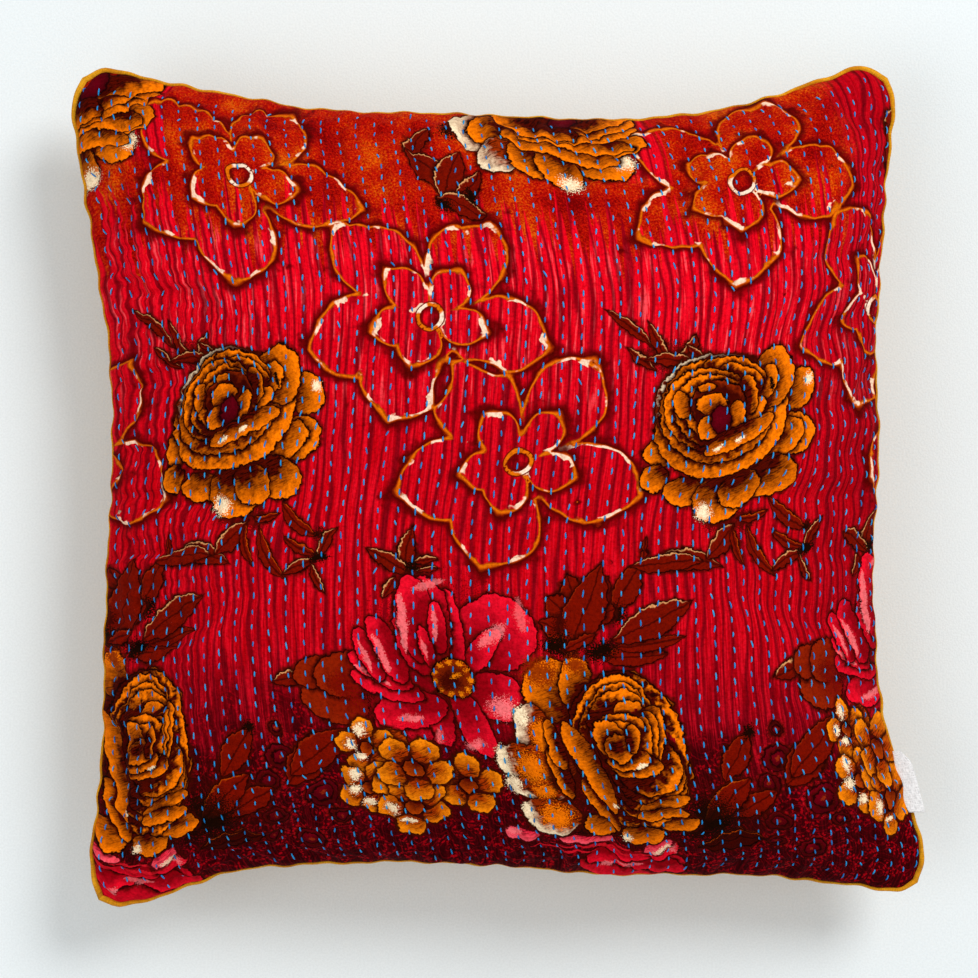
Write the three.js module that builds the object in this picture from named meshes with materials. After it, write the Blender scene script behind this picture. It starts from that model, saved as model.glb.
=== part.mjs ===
// A square kantha cushion, lying on its back with its quilted face up.
// Millimetres, +Z up, +Y towards the cushion's top edge. The origin is on the resting face,
// under the middle of the cushion.
import * as THREE from "three";

// Driving dimensions
const STITCH_ROWS = 47; // rows of running stitch down the face
const ROW_PITCH = 9.6; // cloth between two rows
const CLOTH_SIDE = STITCH_ROWS * ROW_PITCH; // each panel between its seams, laid flat
const FACE_CROWN = 76; // rise of the face above the seam
const BACK_CROWN = 64; // drop of the back below the seam, to the resting face
const CROWN_EXPONENT = 2.2; // how far out the crown stays full
const CROWN_FULLNESS = 0.56; // how steeply it falls to the seam
const REST_SHARE = 0.46; // share of the back that lies flat
const REST_ROLL = 1.25; // how softly the back leaves the surface round that patch
const CORNER_DIP = 7; // how far the corner tips hang below the seam's level
const RIDGE_HEIGHT = 2; // padding between two rows, above the stitches
const CREASE_DEPTH = 1.5; // cross creases that the stitching gathers in near the sides
const CREASE_PITCH = 46;
const CREASE_LEAN = 5; // turns the creases a little off square
const QUILT_FADE = 1 / 14; // share of the cloth at the seam where the quilting dies out
const FACE_STEPS = 30; // steps of the face's grid from bottom edge to top edge
const BACK_STEPS = 18; // steps of the back's plainer grid
const BACK_RIM = 0.93; // share of the back that the plain grid covers
const GAP = 0.3; // between two pieces
const EDGE_MIDDLE_WIDTH = 1.8; // rolled edge of the back cloth, in the middle of a side
const EDGE_CORNER_WIDTH = 3.2; // and at a corner
const EDGE_BELOW = 1.8; // the rolled edge's reach below the seam line
const EDGE_ABOVE = 1.2; // and above it
const LABEL_LENGTH = 32; // along the seam
const LABEL_REACH = 7; // out of the seam
const LABEL_THICKNESS = 1;
const LABEL_START = 2 * GAP; // from the seam line to the tape
const LABEL_BOTTOM_Y = -173; // the end of the label that is nearer the bottom edge
const LABEL_TILT = 0.1; // rise over reach
const LABEL_RISE = 1.7; // rise along the seam, as the seam climbs from the corner
const LABEL_SLANT = 0.2; // the tape's ends run a little towards the top edge
const LABEL_STEPS = { along: 6, out: 3 };

// The seam line seen from above, from corner to corner, as it runs between the four tips.
const LEFT_SEAM = [
  { y: 215.4, x: -220.0 },
  { y: 199.5, x: -224.7 },
  { y: 162.4, x: -220.0 },
  { y: 114.7, x: -212.5 },
  { y: 72.3, x: -206.2 },
  { y: 19.3, x: -204.6 },
  { y: -39.0, x: -207.2 },
  { y: -92.0, x: -208.8 },
  { y: -139.7, x: -209.9 },
  { y: -171.5, x: -213.1 },
  { y: -200.6, x: -215.7 },
  { y: -217.6, x: -210.9 },
];
const RIGHT_SEAM = [
  { y: 216.0, x: 205.1 },
  { y: 202.2, x: 208.3 },
  { y: 157.1, x: 204.6 },
  { y: 114.7, x: 201.9 },
  { y: 72.3, x: 199.3 },
  { y: 19.3, x: 200.9 },
  { y: -31.0, x: 198.2 },
  { y: -81.4, x: 199.3 },
  { y: -118.5, x: 202.5 },
  { y: -150.3, x: 212.0 },
  { y: -179.4, x: 220.0 },
  { y: -195.3, x: 224.2 },
  { y: -209.6, x: 220.5 },
];
const TOP_SEAM = [
  { x: -220.0, y: 215.4 },
  { x: -208.8, y: 220.7 },
  { x: -190.3, y: 216.5 },
  { x: -158.5, y: 210.1 },
  { x: -126.7, y: 204.8 },
  { x: -94.9, y: 199.5 },
  { x: -31.3, y: 197.4 },
  { x: 21.7, y: 195.3 },
  { x: 64.1, y: 194.2 },
  { x: 106.5, y: 197.4 },
  { x: 148.9, y: 207.5 },
  { x: 180.7, y: 218.1 },
  { x: 192.4, y: 221.3 },
  { x: 205.1, y: 216.0 },
];
const BOTTOM_SEAM = [
  { x: -210.9, y: -217.6 },
  { x: -199.8, y: -221.3 },
  { x: -179.7, y: -216.5 },
  { x: -147.9, y: -205.4 },
  { x: -116.1, y: -200.6 },
  { x: -52.5, y: -198.5 },
  { x: 0.5, y: -200.6 },
  { x: 53.5, y: -204.8 },
  { x: 138.3, y: -205.9 },
  { x: 180.7, y: -210.1 },
  { x: 211.5, y: -213.3 },
  { x: 220.5, y: -209.6 },
];

// How much the crown closes up the cloth towards each edge, seen from above.
const CLOSING = { share: 0.105, left: 4.5, right: 8, top: 6.5, bottom: 7 };

// Sideways wander of the stitch rows, from the top edge (t = 1) to the bottom edge (t = -1).
const ROW_WANDER = [
  { t: -1.0, shift: 0 },
  { t: -0.76, shift: 3.6 },
  { t: -0.5, shift: -1.0 },
  { t: -0.24, shift: -2.6 },
  { t: 0.3, shift: 2.8 },
  { t: 0.56, shift: 6.0 },
  { t: 0.82, shift: 1.6 },
  { t: 1.0, shift: 0 },
];

const CLOTH = new THREE.MeshStandardMaterial({
  color: 0xb4141c,
  roughness: 0.82,
  metalness: 0,
});
const BACK_CLOTH = new THREE.MeshStandardMaterial({
  color: 0xd59414,
  roughness: 0.85,
  metalness: 0,
});
const TAPE = new THREE.MeshStandardMaterial({
  color: 0xf0eee8,
  roughness: 0.8,
  metalness: 0,
});

const mix = THREE.MathUtils.lerp;

// A smooth curve through a table's rows: the value in column `to` where column `from` is `at`.
function along(table, from, to, at) {
  const rows =
    table[0][from] < table.at(-1)[from] ? table : [...table].reverse();
  const last = rows.length - 1;
  let i = rows.findIndex((row) => row[from] > at) - 1;
  if (i < 0) i = at < rows[0][from] ? 0 : last - 1;
  const slope = (k) => {
    const a = rows[Math.max(0, k - 1)];
    const b = rows[Math.min(last, k + 1)];
    return (b[to] - a[to]) / (b[from] - a[from]);
  };
  const span = rows[i + 1][from] - rows[i][from];
  const f = THREE.MathUtils.clamp((at - rows[i][from]) / span, 0, 1);
  const f2 = f * f;
  const f3 = f2 * f;
  return (
    (2 * f3 - 3 * f2 + 1) * rows[i][to] +
    (f3 - 2 * f2 + f) * span * slope(i) +
    (3 * f2 - 2 * f3) * rows[i + 1][to] +
    (f3 - f2) * span * slope(i + 1)
  );
}

// The cloth's own square runs from -1 to 1 across (s) and up (t). `closed` moves a place on it
// towards its edge by what the crown takes up there, more in the middle of a side.
function closed(place, across, lowPower, highPower) {
  const share = CLOSING.share * (1 - Math.abs(across) ** 3);
  const power = place < 0 ? lowPower : highPower;
  return place * (1 + share * (1 - Math.abs(place) ** power));
}

// The plan position of a place on the cloth.
function plan(s, t) {
  const left = mix(BOTTOM_SEAM[0].y, LEFT_SEAM[0].y, (1 + t) / 2);
  const right = mix(RIGHT_SEAM.at(-1).y, RIGHT_SEAM[0].y, (1 + t) / 2);
  const top = mix(TOP_SEAM[0].x, TOP_SEAM.at(-1).x, (1 + s) / 2);
  const bottom = mix(BOTTOM_SEAM[0].x, BOTTOM_SEAM.at(-1).x, (1 + s) / 2);
  const across = (1 + closed(s, t, CLOSING.left, CLOSING.right)) / 2;
  const up = (1 + closed(t, s, CLOSING.bottom, CLOSING.top)) / 2;
  const wander = along(ROW_WANDER, "t", "shift", t) * (1 - s * s);
  return {
    x: mix(along(LEFT_SEAM, "y", "x", left), along(RIGHT_SEAM, "y", "x", right), across) + wander,
    y: mix(along(BOTTOM_SEAM, "x", "y", bottom), along(TOP_SEAM, "x", "y", top), up),
  };
}

// The seam's height: level at the middle of a side, dipping to the corner tips.
function seamHeight(s, t) {
  return BACK_CROWN - CORNER_DIP * (s * t) ** 4;
}

// 0 at the seam and 1 in the middle of the cushion.
function crown(s, t) {
  const across = Math.max(0, 1 - Math.abs(s) ** CROWN_EXPONENT);
  const up = Math.max(0, 1 - Math.abs(t) ** CROWN_EXPONENT);
  return (across * up) ** CROWN_FULLNESS;
}

// The padding that stands up between two rows of stitches, and the creases across it near the
// left and right sides. Both die out at the seam.
function quilting(s, t) {
  const row = ((s + 1) / 2) * STITCH_ROWS;
  const ridge = Math.cos(Math.PI * row) ** 2;
  const turns = (t * CLOTH_SIDE) / 2 / CREASE_PITCH;
  const crease = Math.cos(2 * Math.PI * turns + CREASE_LEAN * s) * Math.abs(s) ** 3;
  const inside = Math.min(1 - Math.abs(s), 1 - Math.abs(t));
  return Math.min(1, inside / QUILT_FADE) * (RIDGE_HEIGHT * ridge + CREASE_DEPTH * crease);
}

function facePoint(s, t) {
  const { x, y } = plan(s, t);
  return [x, y, seamHeight(s, t) + FACE_CROWN * crown(s, t) + quilting(s, t)];
}

// The back's crown is cut level where the cushion lies on it.
function backPoint(s, t) {
  const { x, y } = plan(s, t);
  const flat = Math.max(Math.abs(s), Math.abs(t)) <= REST_SHARE;
  const drop = crown(s, t) / crown(REST_SHARE, REST_SHARE);
  return [x, y, flat ? 0 : seamHeight(s, t) * (1 - Math.min(1, drop)) ** REST_ROLL];
}

// Evenly spaced places from -1 to 1.
const steps = (count) =>
  Array.from({ length: count + 1 }, (_, i) => (2 * i) / count - 1);

const FACE_COLUMNS = 2 * STITCH_ROWS; // a crest and a valley for each row
const ACROSS = steps(FACE_COLUMNS);
const UP = steps(FACE_STEPS);

// A grid's four sides, corner to corner, counter-clockwise seen from above.
const sides = (grid) => [
  grid[0],
  grid.map((row) => row.at(-1)),
  [...grid.at(-1)].reverse(),
  grid.map((row) => row[0]).reverse(),
];

// The seam, as places on the cloth.
const SEAM = sides(UP.map((t) => ACROSS.map((s) => [s, t]))).flatMap((side) =>
  side.slice(0, -1),
);

function solid(name, points, faces, material) {
  const geometry = new THREE.BufferGeometry();
  geometry.setAttribute("position", new THREE.Float32BufferAttribute(points.flat(), 3));
  geometry.setIndex(faces.flat());
  geometry.computeVertexNormals();
  const mesh = new THREE.Mesh(geometry, material);
  mesh.name = name;
  return mesh;
}

const flipped = (faces) => faces.map(([a, b, c]) => [a, c, b]);

// Two triangles for each cell of a grid of point numbers. They face up where its rows run
// across and follow each other upwards in plan.
function gridFaces(grid) {
  const faces = [];
  for (let j = 0; j + 1 < grid.length; j++) {
    for (let i = 0; i + 1 < grid[j].length; i++) {
      const [a, b] = [grid[j][i], grid[j][i + 1]];
      const [d, c] = [grid[j + 1][i], grid[j + 1][i + 1]];
      faces.push([a, b, c], [a, c, d]);
    }
  }
  return faces;
}

// Triangles between two runs of point numbers that lie side by side, the second on the left.
function zipped(outer, inner) {
  const faces = [];
  let [i, j] = [0, 0];
  while (i + 1 < outer.length || j + 1 < inner.length) {
    if ((i + 1) / (outer.length - 1) <= (j + 1) / (inner.length - 1)) {
      faces.push([outer[i], outer[i + 1], inner[j]]);
      i += 1;
    } else {
      faces.push([outer[i], inner[j + 1], inner[j]]);
      j += 1;
    }
  }
  return faces;
}

// The filled cushion: the quilted face, and the plainer back joined to it at the seam.
function cushion() {
  const points = [];
  const add = (point) => points.push(point) - 1;
  const face = UP.map((t) => ACROSS.map((s) => add(facePoint(s, t))));
  const inner = steps(BACK_STEPS).map((v) => v * BACK_RIM);
  const back = inner.map((t) => inner.map((s) => add(backPoint(s, t))));
  const backSides = sides(back);
  const strip = sides(face).flatMap((side, k) => zipped(side, backSides[k]));
  const underside = flipped([...gridFaces(back), ...strip]);
  return solid("cushion", points, [...gridFaces(face), ...underside], CLOTH);
}

// A closed ring swept round the seam. `section` gives its corners at a place as
// [outwards, up] from the seam line, counter-clockwise seen along the sweep.
function sweptRing(name, section, material) {
  const seam = SEAM.map(([s, t]) => new THREE.Vector3(...facePoint(s, t)));
  const count = seam.length;
  const points = [];
  seam.forEach((at, k) => {
    const ahead = seam[(k + 1) % count].clone().sub(at).setZ(0).normalize();
    const behind = at.clone().sub(seam[(k + count - 1) % count]).setZ(0).normalize();
    const onward = ahead.clone().add(behind).normalize();
    const mitre = 1 / Math.max(0.6, onward.dot(ahead));
    const outward = new THREE.Vector3(onward.y, -onward.x, 0);
    for (const [out, up] of section(...SEAM[k])) {
      points.push(
        at.clone().addScaledVector(outward, out * mitre).add(new THREE.Vector3(0, 0, up)).toArray(),
      );
    }
  });
  const corners = points.length / count;
  const grid = Array.from({ length: corners + 1 }, (_, j) =>
    Array.from({ length: count + 1 }, (_, i) => (i % count) * corners + (j % corners)),
  );
  return solid(name, points, gridFaces(grid), material);
}

// The back cloth rolls a little way round the seam, and further at the corners.
function seamEdge() {
  return sweptRing(
    "seam_edge",
    (s, t) => {
      const width = mix(EDGE_MIDDLE_WIDTH, EDGE_CORNER_WIDTH, (s * t) ** 6);
      return [
        [GAP, -EDGE_BELOW],
        [GAP + 0.6 * width, -0.8 * EDGE_BELOW],
        [GAP + width, 0],
        [GAP + 0.7 * width, 0.7 * EDGE_ABOVE],
        [GAP, EDGE_ABOVE],
      ];
    },
    BACK_CLOTH,
  );
}

// A bare folded tape sewn into the right seam, on top of the rolled edge.
function label() {
  const shares = (count) => Array.from({ length: count + 1 }, (_, i) => i / count);
  const middleY = LABEL_BOTTOM_Y + LABEL_LENGTH / 2;
  const underZ = seamHeight(1, middleY / RIGHT_SEAM[0].y) + EDGE_ABOVE + GAP;
  const points = [];
  const layer = (lift) =>
    shares(LABEL_STEPS.along).map((a) => {
      const y = LABEL_BOTTOM_Y + a * LABEL_LENGTH;
      const startX = along(RIGHT_SEAM, "y", "x", y) + LABEL_START;
      const z = underZ + lift + (a - 0.5) * LABEL_RISE;
      return shares(LABEL_STEPS.out).map((share) => {
        const reach = share * LABEL_REACH;
        return points.push([startX + reach, y + reach * LABEL_SLANT, z + reach * LABEL_TILT]) - 1;
      });
    });
  const under = layer(0);
  const over = layer(LABEL_THICKNESS);
  const overSides = sides(over);
  const walls = sides(under).flatMap((side, k) => gridFaces([side, overSides[k]]));
  return solid("label", points, [...gridFaces(over), ...flipped(gridFaces(under)), ...walls], TAPE);
}

const part = new THREE.Group();
part.add(cushion(), seamEdge(), label());

export default part;
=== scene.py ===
"""A square kantha cushion lying on its back: printed cotton face in rows of blue running stitch,
plain mustard back that shows as a thin edge round the seam, and a small bare woven tape."""

import math
import random

import bmesh
import bpy
import numpy as np
from mathutils import Matrix, Vector, noise


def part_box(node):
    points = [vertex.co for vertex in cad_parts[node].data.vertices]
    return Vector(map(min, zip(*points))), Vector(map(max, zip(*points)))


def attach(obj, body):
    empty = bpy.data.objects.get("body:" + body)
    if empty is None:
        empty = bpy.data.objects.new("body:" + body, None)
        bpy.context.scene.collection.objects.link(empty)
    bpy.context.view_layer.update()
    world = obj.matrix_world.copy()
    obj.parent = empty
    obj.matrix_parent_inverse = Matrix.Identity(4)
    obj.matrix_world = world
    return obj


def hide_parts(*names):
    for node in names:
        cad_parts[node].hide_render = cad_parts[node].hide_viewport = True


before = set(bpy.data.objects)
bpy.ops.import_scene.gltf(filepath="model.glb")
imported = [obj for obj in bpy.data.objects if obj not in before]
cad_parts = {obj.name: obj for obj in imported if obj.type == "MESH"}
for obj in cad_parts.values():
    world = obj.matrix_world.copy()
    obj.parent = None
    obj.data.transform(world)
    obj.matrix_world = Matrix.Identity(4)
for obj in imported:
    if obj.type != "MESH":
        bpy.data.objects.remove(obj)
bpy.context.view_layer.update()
MM = 0.001

# Sizes in millimetres, as the solids have them
STITCH_ROWS = 47
ROW_PITCH = 9.6
HALF_CLOTH = STITCH_ROWS * ROW_PITCH / 2
BACK_CROWN = 64
FACE_CROWN = 76
CORNER_DIP = 7
CROWN_EXPONENT = 2.2
CROWN_FULLNESS = 0.56
REST_SHARE = 0.46
REST_ROLL = 1.25

# The seam line, as (height up the photo, place across) for the sides and the other way round for the ends
LEFT_SEAM = (
    (215.4, -220.0), (199.5, -224.7), (162.4, -220.0), (114.7, -212.5), (72.3, -206.2), (19.3, -204.6),
    (-39.0, -207.2), (-92.0, -208.8), (-139.7, -209.9), (-171.5, -213.1), (-200.6, -215.7),
    (-217.6, -210.9),
)
RIGHT_SEAM = (
    (216.0, 205.1), (202.2, 208.3), (157.1, 204.6), (114.7, 201.9), (72.3, 199.3), (19.3, 200.9),
    (-31.0, 198.2), (-81.4, 199.3), (-118.5, 202.5), (-150.3, 212.0), (-179.4, 220.0), (-195.3, 224.2),
    (-209.6, 220.5),
)
TOP_SEAM = (
    (-220.0, 215.4), (-208.8, 220.7), (-190.3, 216.5), (-158.5, 210.1), (-126.7, 204.8), (-94.9, 199.5),
    (-31.3, 197.4), (21.7, 195.3), (64.1, 194.2), (106.5, 197.4), (148.9, 207.5), (180.7, 218.1),
    (192.4, 221.3), (205.1, 216.0),
)
BOTTOM_SEAM = (
    (-210.9, -217.6), (-199.8, -221.3), (-179.7, -216.5), (-147.9, -205.4), (-116.1, -200.6),
    (-52.5, -198.5), (0.5, -200.6), (53.5, -204.8), (138.3, -205.9), (180.7, -210.1), (211.5, -213.3),
    (220.5, -209.6),
)
# How far the stitch rows stray sideways, from the bottom of the cloth to its top
ROW_STRAY = (
    (-1.0, 9.0), (-0.82, 7.5), (-0.46, 1.0), (-0.22, -0.6), (-0.03, -0.5), (0.2, 4.0), (0.43, 8.4),
    (0.5, 8.4), (0.76, 4.2), (0.96, -2.0), (1.0, -3.0),
)


# The form of the filled cushion
def line_through(points, place):
    """A smooth line through the points, read at many places."""
    points = sorted(points)
    places = np.array([point[0] for point in points])
    values = np.array([point[1] for point in points])
    order = np.arange(len(points))
    after = np.minimum(order + 1, order[-1])
    before = np.maximum(order - 1, 0)
    slopes = (values[after] - values[before]) / (places[after] - places[before])
    start = np.clip(np.searchsorted(places, place, side="right") - 1, 0, len(points) - 2)
    span = places[start + 1] - places[start]
    f = np.clip((place - places[start]) / span, 0, 1)
    value = (2 * f**3 - 3 * f**2 + 1) * values[start] + (3 * f**2 - 2 * f**3) * values[start + 1]
    return value + span * ((f**3 - 2 * f**2 + f) * slopes[start] + (f**3 - f**2) * slopes[start + 1])


def mixed(low, high, share):
    return low + (high - low) * share


def closed_up(place, across, share, low_power, high_power):
    """Cloth gathers towards the seam: rows lie closer there than in the middle."""
    power = np.where(place < 0, low_power, high_power)
    return place * (1 + share * (1 - np.abs(across) ** 3) * (1 - np.abs(place) ** power))


def seam_scallop(place):
    """The small pulls that each turn of the stitching thread gives the seam."""
    return 0.45 * np.sin(place * 47.0 + 2 * np.sin(place * 9)) + 0.3 * np.sin(place * 91.0 + 1)


def spread_out(a, b):
    """Where a place on the cloth, from -1 to 1 both ways, comes to lie in plan."""
    s = a + line_through(ROW_STRAY, b) / HALF_CLOTH * (1 - a**8)
    left = mixed(BOTTOM_SEAM[0][1], LEFT_SEAM[0][0], (1 + b) / 2)
    right = mixed(RIGHT_SEAM[-1][0], RIGHT_SEAM[0][0], (1 + b) / 2)
    top = mixed(TOP_SEAM[0][0], TOP_SEAM[-1][0], (1 + s) / 2)
    bottom = mixed(BOTTOM_SEAM[0][0], BOTTOM_SEAM[-1][0], (1 + s) / 2)
    side_share = np.where(s < 0, 0.103, 0.100)
    across = (1 + closed_up(s, b, side_share, 1.83, 5.83)) / 2
    up = (1 + closed_up(b, s, 0.105, 7, 6.5)) / 2
    x = mixed(line_through(LEFT_SEAM, left), line_through(RIGHT_SEAM, right), across)
    y = mixed(line_through(BOTTOM_SEAM, bottom), line_through(TOP_SEAM, top), up)
    x = x + seam_scallop(b) * s * np.abs(s) ** 5
    y = y + seam_scallop(s) * b * np.abs(b) ** 5
    return s, x, y


def crown_at(s, b):
    round_across = np.maximum(0, 1 - np.abs(s) ** CROWN_EXPONENT)
    round_up = np.maximum(0, 1 - np.abs(b) ** CROWN_EXPONENT)
    return (round_across * round_up) ** CROWN_FULLNESS


def pillow(a, b, on_face, fullness=1.0):
    """The smooth filled form, in millimetres, before its quilting."""
    s, x, y = spread_out(a, b)
    seam = BACK_CROWN - CORNER_DIP * (s * b) ** 4
    crown = crown_at(s, b)
    above = seam + FACE_CROWN * fullness * crown
    resting = float(crown_at(np.array(REST_SHARE), np.array(REST_SHARE)))
    sunk = 1 - np.minimum(1, crown / resting)
    below = np.where(np.maximum(np.abs(s), np.abs(b)) <= REST_SHARE, 0, seam * sunk**REST_ROLL)
    return np.stack([x, y, np.where(on_face, above, below)], axis=-1)


def read_between(sheet, a, b):
    """Reads a square grid of values smoothly at any place from -1 to 1."""
    last = sheet.shape[0] - 1

    def weights(place):
        at = np.clip((place + 1) / 2 * last, 0, last)
        start = np.minimum(at.astype(int), last - 1)
        f = at - start
        taps = (
            (2 * f**2 - f - f**3) / 2,
            (2 - 5 * f**2 + 3 * f**3) / 2,
            (f + 4 * f**2 - 3 * f**3) / 2,
            (f**3 - f**2) / 2,
        )
        rows = [np.clip(start + step, 0, last) for step in (-1, 0, 1, 2)]
        return rows, taps

    across, share_across = weights(a)
    up, share_up = weights(b)
    total = 0
    for row, share in zip(up, share_up):
        for column, weight in zip(across, share_across):
            total = total + sheet[row, column] * (share * weight)[..., None]
    return total


# The two panels of cloth, sewn round the edge
def sewn_panels(face_columns, back_columns):
    """Face and back as flat grids from -1 to 1, at z 0.5 and -0.5, joined along the seam at z 0."""
    bm = bmesh.new()
    back = bmesh.ops.create_grid(bm, x_segments=back_columns, y_segments=back_columns, size=1)["verts"]
    for vert in back:
        vert.co.z = -0.5
    if face_columns > back_columns:
        border = [edge for edge in bm.edges if edge.is_boundary]
        cuts = face_columns // back_columns - 1
        bmesh.ops.subdivide_edges(bm, edges=border, cuts=cuts)
    bmesh.ops.reverse_faces(bm, faces=bm.faces[:])
    face = bmesh.ops.create_grid(bm, x_segments=face_columns, y_segments=face_columns, size=1)["verts"]
    for vert in face:
        vert.co.z = 0.5
    for vert in bm.verts:
        if max(abs(vert.co.x), abs(vert.co.y)) > 0.99999:
            vert.co.z = 0
    bmesh.ops.remove_doubles(bm, verts=bm.verts[:], dist=0.00001)
    return bm


def mesh_from(bm, name):
    """The finished mesh of a bmesh, smoothly shaded."""
    for face in bm.faces:
        face.smooth = True
    mesh = bpy.data.meshes.new(name)
    bm.to_mesh(mesh)
    bm.free()
    return mesh


def points_of(mesh):
    flat = np.empty(len(mesh.vertices) * 3, dtype=np.float32)
    mesh.vertices.foreach_get("co", flat)
    return flat.reshape(-1, 3).astype(float)


def move_points(mesh, points):
    mesh.vertices.foreach_set("co", np.asarray(points, dtype=np.float32).ravel())
    mesh.update()


def numbers_of(items, name):
    """One whole number for each corner or face of a mesh."""
    numbers = np.empty(len(items), dtype=np.int32)
    items.foreach_get(name, numbers)
    return numbers


def store(mesh, name, values, domain="POINT"):
    """Writes three numbers for each point or face, for the materials to read."""
    column = mesh.attributes.new(name, "FLOAT_VECTOR", domain)
    column.data.foreach_set("vector", np.asarray(values, dtype=np.float32).ravel())


def unit_long(vectors):
    return vectors / np.maximum(np.linalg.norm(vectors, axis=-1, keepdims=True), 1e-9)


def add_piece(name, mesh):
    piece = bpy.data.objects.new(name, mesh)
    bpy.context.scene.collection.objects.link(piece)
    return piece


# The filling pushes the cloth out, with the seam and the resting patch held
SWELL_COLUMNS = 94
SWELL_START = 0.93
SWELL_LIMIT = 9.0
SWELL_FRAMES = 20
SWELL_SETTINGS = {
    "quality": 6,
    "mass": 0.3,
    "tension_stiffness": 15,
    "compression_stiffness": 15,
    "shear_stiffness": 6,
    "bending_stiffness": 0.6,
    "use_pressure": True,
    "uniform_pressure_force": 4,
    "shrink_min": -0.04,
    "vertex_group_mass": "held",
}


def swelling():
    """How far the filling moves each point of the face and of the back, as two square grids."""
    size = SWELL_COLUMNS + 1
    moved = {True: np.zeros((size, size, 3)), False: np.zeros((size, size, 3))}
    mesh = mesh_from(sewn_panels(SWELL_COLUMNS, SWELL_COLUMNS), "filling_trial")
    flat = points_of(mesh)
    a, b, layer = flat.T
    start = pillow(a, b, layer >= 0, SWELL_START)
    move_points(mesh, start * MM)
    trial = add_piece("filling_trial", mesh)
    held = trial.vertex_groups.new(name="held")
    on_seam = np.maximum(np.abs(a), np.abs(b)) > 0.9999
    resting = (layer < 0) & (start[:, 2] < 0.5)
    held.add([int(i) for i in np.nonzero(on_seam | resting)[0]], 1.0, "REPLACE")
    cloth = trial.modifiers.new("filling", "CLOTH")
    for setting, value in SWELL_SETTINGS.items():
        setattr(cloth.settings, setting, value)
    cloth.settings.effector_weights.gravity = 0
    cloth.point_cache.frame_start = 1
    cloth.point_cache.frame_end = SWELL_FRAMES
    scene = bpy.context.scene
    for step in range(1, SWELL_FRAMES + 1):
        scene.frame_set(step)
    shaped = trial.evaluated_get(bpy.context.evaluated_depsgraph_get())
    after = points_of(shaped.data) / MM
    step = after - start
    length = np.linalg.norm(step, axis=1, keepdims=True)
    step = step * np.minimum(1, SWELL_LIMIT / np.maximum(length, 1e-6))
    column = np.rint((a + 1) / 2 * SWELL_COLUMNS).astype(int)
    row = np.rint((b + 1) / 2 * SWELL_COLUMNS).astype(int)
    for on_face in (True, False):
        here = (layer > 0) if on_face else (layer < 0)
        full = pillow(a, b, on_face)
        sheet = moved[on_face]
        sheet[row[here], column[here]] = (start + step - full)[here]
        even = (np.roll(sheet, 1, axis=0) + 2 * sheet + np.roll(sheet, -1, axis=0)) / 4
        calm = np.clip(np.linspace(-1, 1, size) * 3, 0, 1)[None, :, None]
        sheet[1:-1] = (sheet + (even - sheet) * calm)[1:-1]
    scene.frame_set(1)
    bpy.data.objects.remove(trial)
    bpy.data.meshes.remove(mesh)
    return moved


SWELL = swelling()


def filled(a, b, on_face):
    """The form with what the filling does to it, in millimetres."""
    above = read_between(SWELL[True], a, b)
    below = read_between(SWELL[False], a, b)
    point = pillow(a, b, on_face) + np.where(on_face[..., None], above, below)
    point[..., 2] = np.maximum(point[..., 2], 0)
    return point


def outward(a, b, on_face):
    """The direction out of the cloth at each place."""
    reach = 0.006
    along = filled(np.clip(a + reach, -1, 1), b, on_face) - filled(np.clip(a - reach, -1, 1), b, on_face)
    up = filled(a, np.clip(b + reach, -1, 1), on_face) - filled(a, np.clip(b - reach, -1, 1), on_face)
    normal = np.cross(along, up) * np.where(on_face, 1, -1)[..., None]
    return unit_long(normal)


def soft_noise(u, v, width, length, seed):
    """Smooth noise from -1 to 1 over the cloth, with lumps of the given width and length."""
    places = zip(np.ravel(u) / width, np.ravel(v) / length)
    return np.array([noise.noise((x, y, seed)) for x, y in places]).reshape(np.shape(u))


# The running stitch: one row in each valley of the quilting
STITCH_PITCH = 8.0
STITCH_LENGTH = 3.7
dice = random.Random(11)
row_starts = []
row_start = 0.0
for _ in range(STITCH_ROWS + 2):
    row_start += dice.uniform(-2.6, 3.4)
    row_starts.append(row_start)
row_starts = np.array(row_starts)


def along_row(u, v):
    """How far along its stitch pitch a place lies, in turns: 0 in the middle of a stitch."""
    row = np.clip((u + HALF_CLOTH) / ROW_PITCH + 0.5, 0, STITCH_ROWS + 1)
    return (v - np.interp(row, np.arange(STITCH_ROWS + 2), row_starts)) / STITCH_PITCH


def quilting(a, b):
    """How far the quilting lifts the face off its smooth form, in millimetres."""
    u = a * HALF_CLOTH
    v = b * HALF_CLOTH
    inside = np.clip((1 - np.maximum(np.abs(a), np.abs(b))) * 16, 0, 1)
    inside = inside * inside * (3 - 2 * inside)
    off_row = np.abs(((u + HALF_CLOTH) / ROW_PITCH) % 1 - 0.5)
    puff = 1 - np.exp(-((off_row / 0.2) ** 2))
    uneven = soft_noise(u, v, 17, 34, 3.3)
    ridge = (1.35 + 0.7 * uneven) * puff
    wave = np.cos(2 * np.pi * along_row(u, v))
    left_side = np.clip((-a - 0.45) * 3.2, 0, 1)
    other_sides = np.clip((np.maximum(a, np.abs(b)) - 0.7) * 4, 0, 1)
    ripple = -(0.2 + 0.55 * left_side + 0.22 * other_sides) * wave
    ripple = ripple * (0.75 + 0.5 * soft_noise(u, v, 30, 30, 7.7))
    lumps = 1.0 * soft_noise(u, v, 52, 60, 1.5) + 0.35 * soft_noise(u, v, 21, 24, 9.1)
    creases = 2.6 * soft_noise(u, v, 12, 44, 5.2) * np.clip((a - 0.8) * 6, 0, 1)
    folds = 1.6 * soft_noise(u, v, 16, 30, 6.4) * np.clip((-b - 0.84) * 8, 0, 1)
    return inside * (ridge + ripple + lumps + creases + folds - 0.4)


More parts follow.
